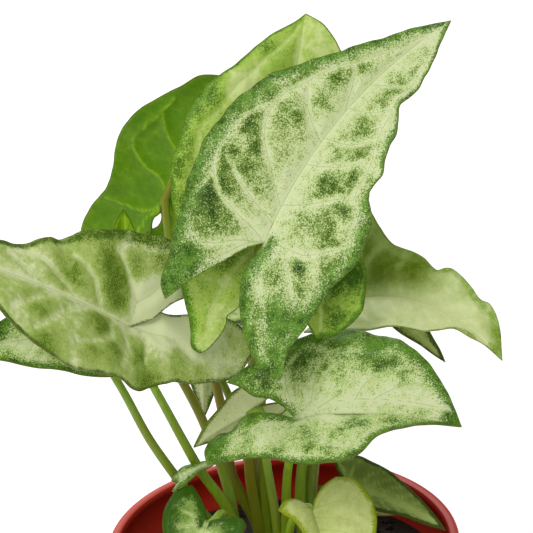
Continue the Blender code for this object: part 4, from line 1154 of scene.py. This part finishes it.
def mix_material():
    """Damp peat and bark: almost black, rough and crumbly."""
    mat, tree, shader = new_material("damp_potting_mix")
    node = partial(add_node, tree)
    crumb = node("TexNoise", None, {"Vector": in_mm(tree), "Scale": 0.8, "Detail": 5.0})
    colour = node("ValToRGB", None, (crumb,), stops=[(0.3, "#0C0605"), (0.75, "#2C1A12")])
    bump = node("Bump", None, {"Strength": 0.6, "Distance": 0.0006, "Height": crumb})
    fill(tree, shader, {"Base Color": colour, "Roughness": 0.9, "Normal": bump})
    return mat


def soil_rise(x, y, edge):
    """How far the mix's top stands over its level, in mm: low swells with small lumps on them."""
    inward = np.clip(1 - (np.hypot(x, y) / edge) ** 4, 0, 1)
    swell = np.sin(0.21 * x + 1.3 * np.sin(0.13 * y)) * np.cos(0.17 * y)
    lumps = np.sin(1.1 * x + 2 * np.sin(0.7 * y)) * np.sin(1.3 * y + 2 * np.sin(0.9 * x))
    return inward * (SOIL_SWELL * swell + SOIL_LUMPS * lumps)


def add_mix(mat):
    """The potting mix: filled up to its lumpy top, with loose crumbs and chips of bark pressed into it."""
    edge = inner_radius(SOIL_TOP) - SOIL_GAP
    floor = POT_FLOOR + SOIL_GAP
    radii = [*np.linspace(0, edge, SOIL_RINGS + 1), inner_radius(floor) - SOIL_GAP, 0]
    heights = [SOIL_TOP] * (SOIL_RINGS + 1) + [floor, floor]
    places = turned(radii, heights, SOIL_TURNS)
    top = places[:SOIL_RINGS + 1]
    top[:, :, 2] += soil_rise(top[:, :, 0], top[:, :, 1], edge)
    obj = grid("potting_mix_fill", places, flip=True)
    weld(obj, SEAM_WELD, closed=True)
    bpy.ops.object.shade_smooth()
    pieces = [obj]
    draw = np.random.default_rng(CRUMB_SEED)
    for i in range(CRUMBS):
        away = (edge - CRUMB_MARGIN) * math.sqrt(draw.random())
        turn = math.tau * draw.random()
        x, y = away * math.cos(turn), away * math.sin(turn)
        size = draw.uniform(*CRUMB_SIZE)
        z = SOIL_TOP + float(soil_rise(x, y, edge)) + CRUMB_RISE * size
        deselect()
        bpy.ops.mesh.primitive_ico_sphere_add(subdivisions=1, radius=size * MM, location=(0, 0, 0))
        crumb = bpy.context.object
        bpy.ops.transform.resize(value=tuple(draw.uniform(*CRUMB_STRETCH)))
        tilts = draw.uniform(-CRUMB_TILT, CRUMB_TILT, 2)
        crumb.rotation_euler = *tilts, math.tau * draw.random()
        crumb.location = Vector((x, y, z)) * MM
        pieces.append(crumb)
    activate(*pieces[::-1])
    bpy.ops.object.transform_apply(location=True, rotation=True, scale=True)
    obj = join(pieces, "potting_mix_fill")
    dress(obj, mat)
    stand_for(obj, "potting_mix")


def add_stage():
    """A plain white floor, soft light from above on the left, light from behind, and a pale surround."""
    deselect()
    bpy.ops.mesh.primitive_plane_add(size=FLOOR_SIZE)
    floor = bpy.context.object
    floor.name = "stage_floor"
    mat, tree, shader = new_material("matt_white_paper")
    fill(tree, shader, {"Base Color": "#FFFFFF", "Roughness": 0.9})
    dress(floor, mat)
    world = bpy.data.worlds.new("pale_room")
    world.use_nodes = True
    room = world.node_tree
    fill(room, room.nodes["Background"], {"Color": "#FFFFFF", "Strength": ROOM_STRENGTH})
    bpy.context.scene.world = world
    for name, (place, size, power) in LIGHTS.items():
        deselect()
        bpy.ops.object.light_add(type="AREA", location=place)
        light = bpy.context.object
        light.name = name
        light.data.shape = "RECTANGLE"
        light.data.size, light.data.size_y = size
        light.data.energy = power
        light.rotation_euler = (Vector(LIGHT_AIM) - Vector(place)).to_track_quat("-Z", "Y").to_euler()
    bpy.context.scene.view_settings.view_transform = "Standard"


def add_camera():
    """The photograph's camera, which looks down a little and leans."""
    tilt = math.radians(VIEW_ELEVATION)
    roll = math.radians(VIEW_ROLL)
    back = Vector((0, -math.cos(tilt), math.sin(tilt)))
    level = Vector((1, 0, 0))
    upright = back.cross(level)
    right = math.cos(roll) * level + math.sin(roll) * upright
    up = -math.sin(roll) * level + math.cos(roll) * upright
    place = (Vector(VIEW_TARGET) + back * VIEW_DISTANCE) * MM
    data = bpy.data.cameras.new("view")
    data.lens = LENS
    data.sensor_width = SENSOR
    data.clip_start = 0.01
    camera = bpy.data.objects.new("view", data)
    bpy.context.scene.collection.objects.link(camera)
    turn = Matrix((right, up, back)).transposed()
    camera.matrix_world = Matrix.Translation(place) @ turn.to_4x4()
    bpy.context.scene.camera = camera


def build():
    add_camera()
    add_stage()
    materials = {(kind, upper): leaf_material(kind, upper) for kind in LEAF_LOOKS for upper in (True, False)}
    for name in BLADES:
        add_leaf(name, materials)
    stalk = stalk_material()
    for name in CROWNS:
        add_shoot(name, stalk)
    add_pot(pot_material())
    add_mix(mix_material())


build()
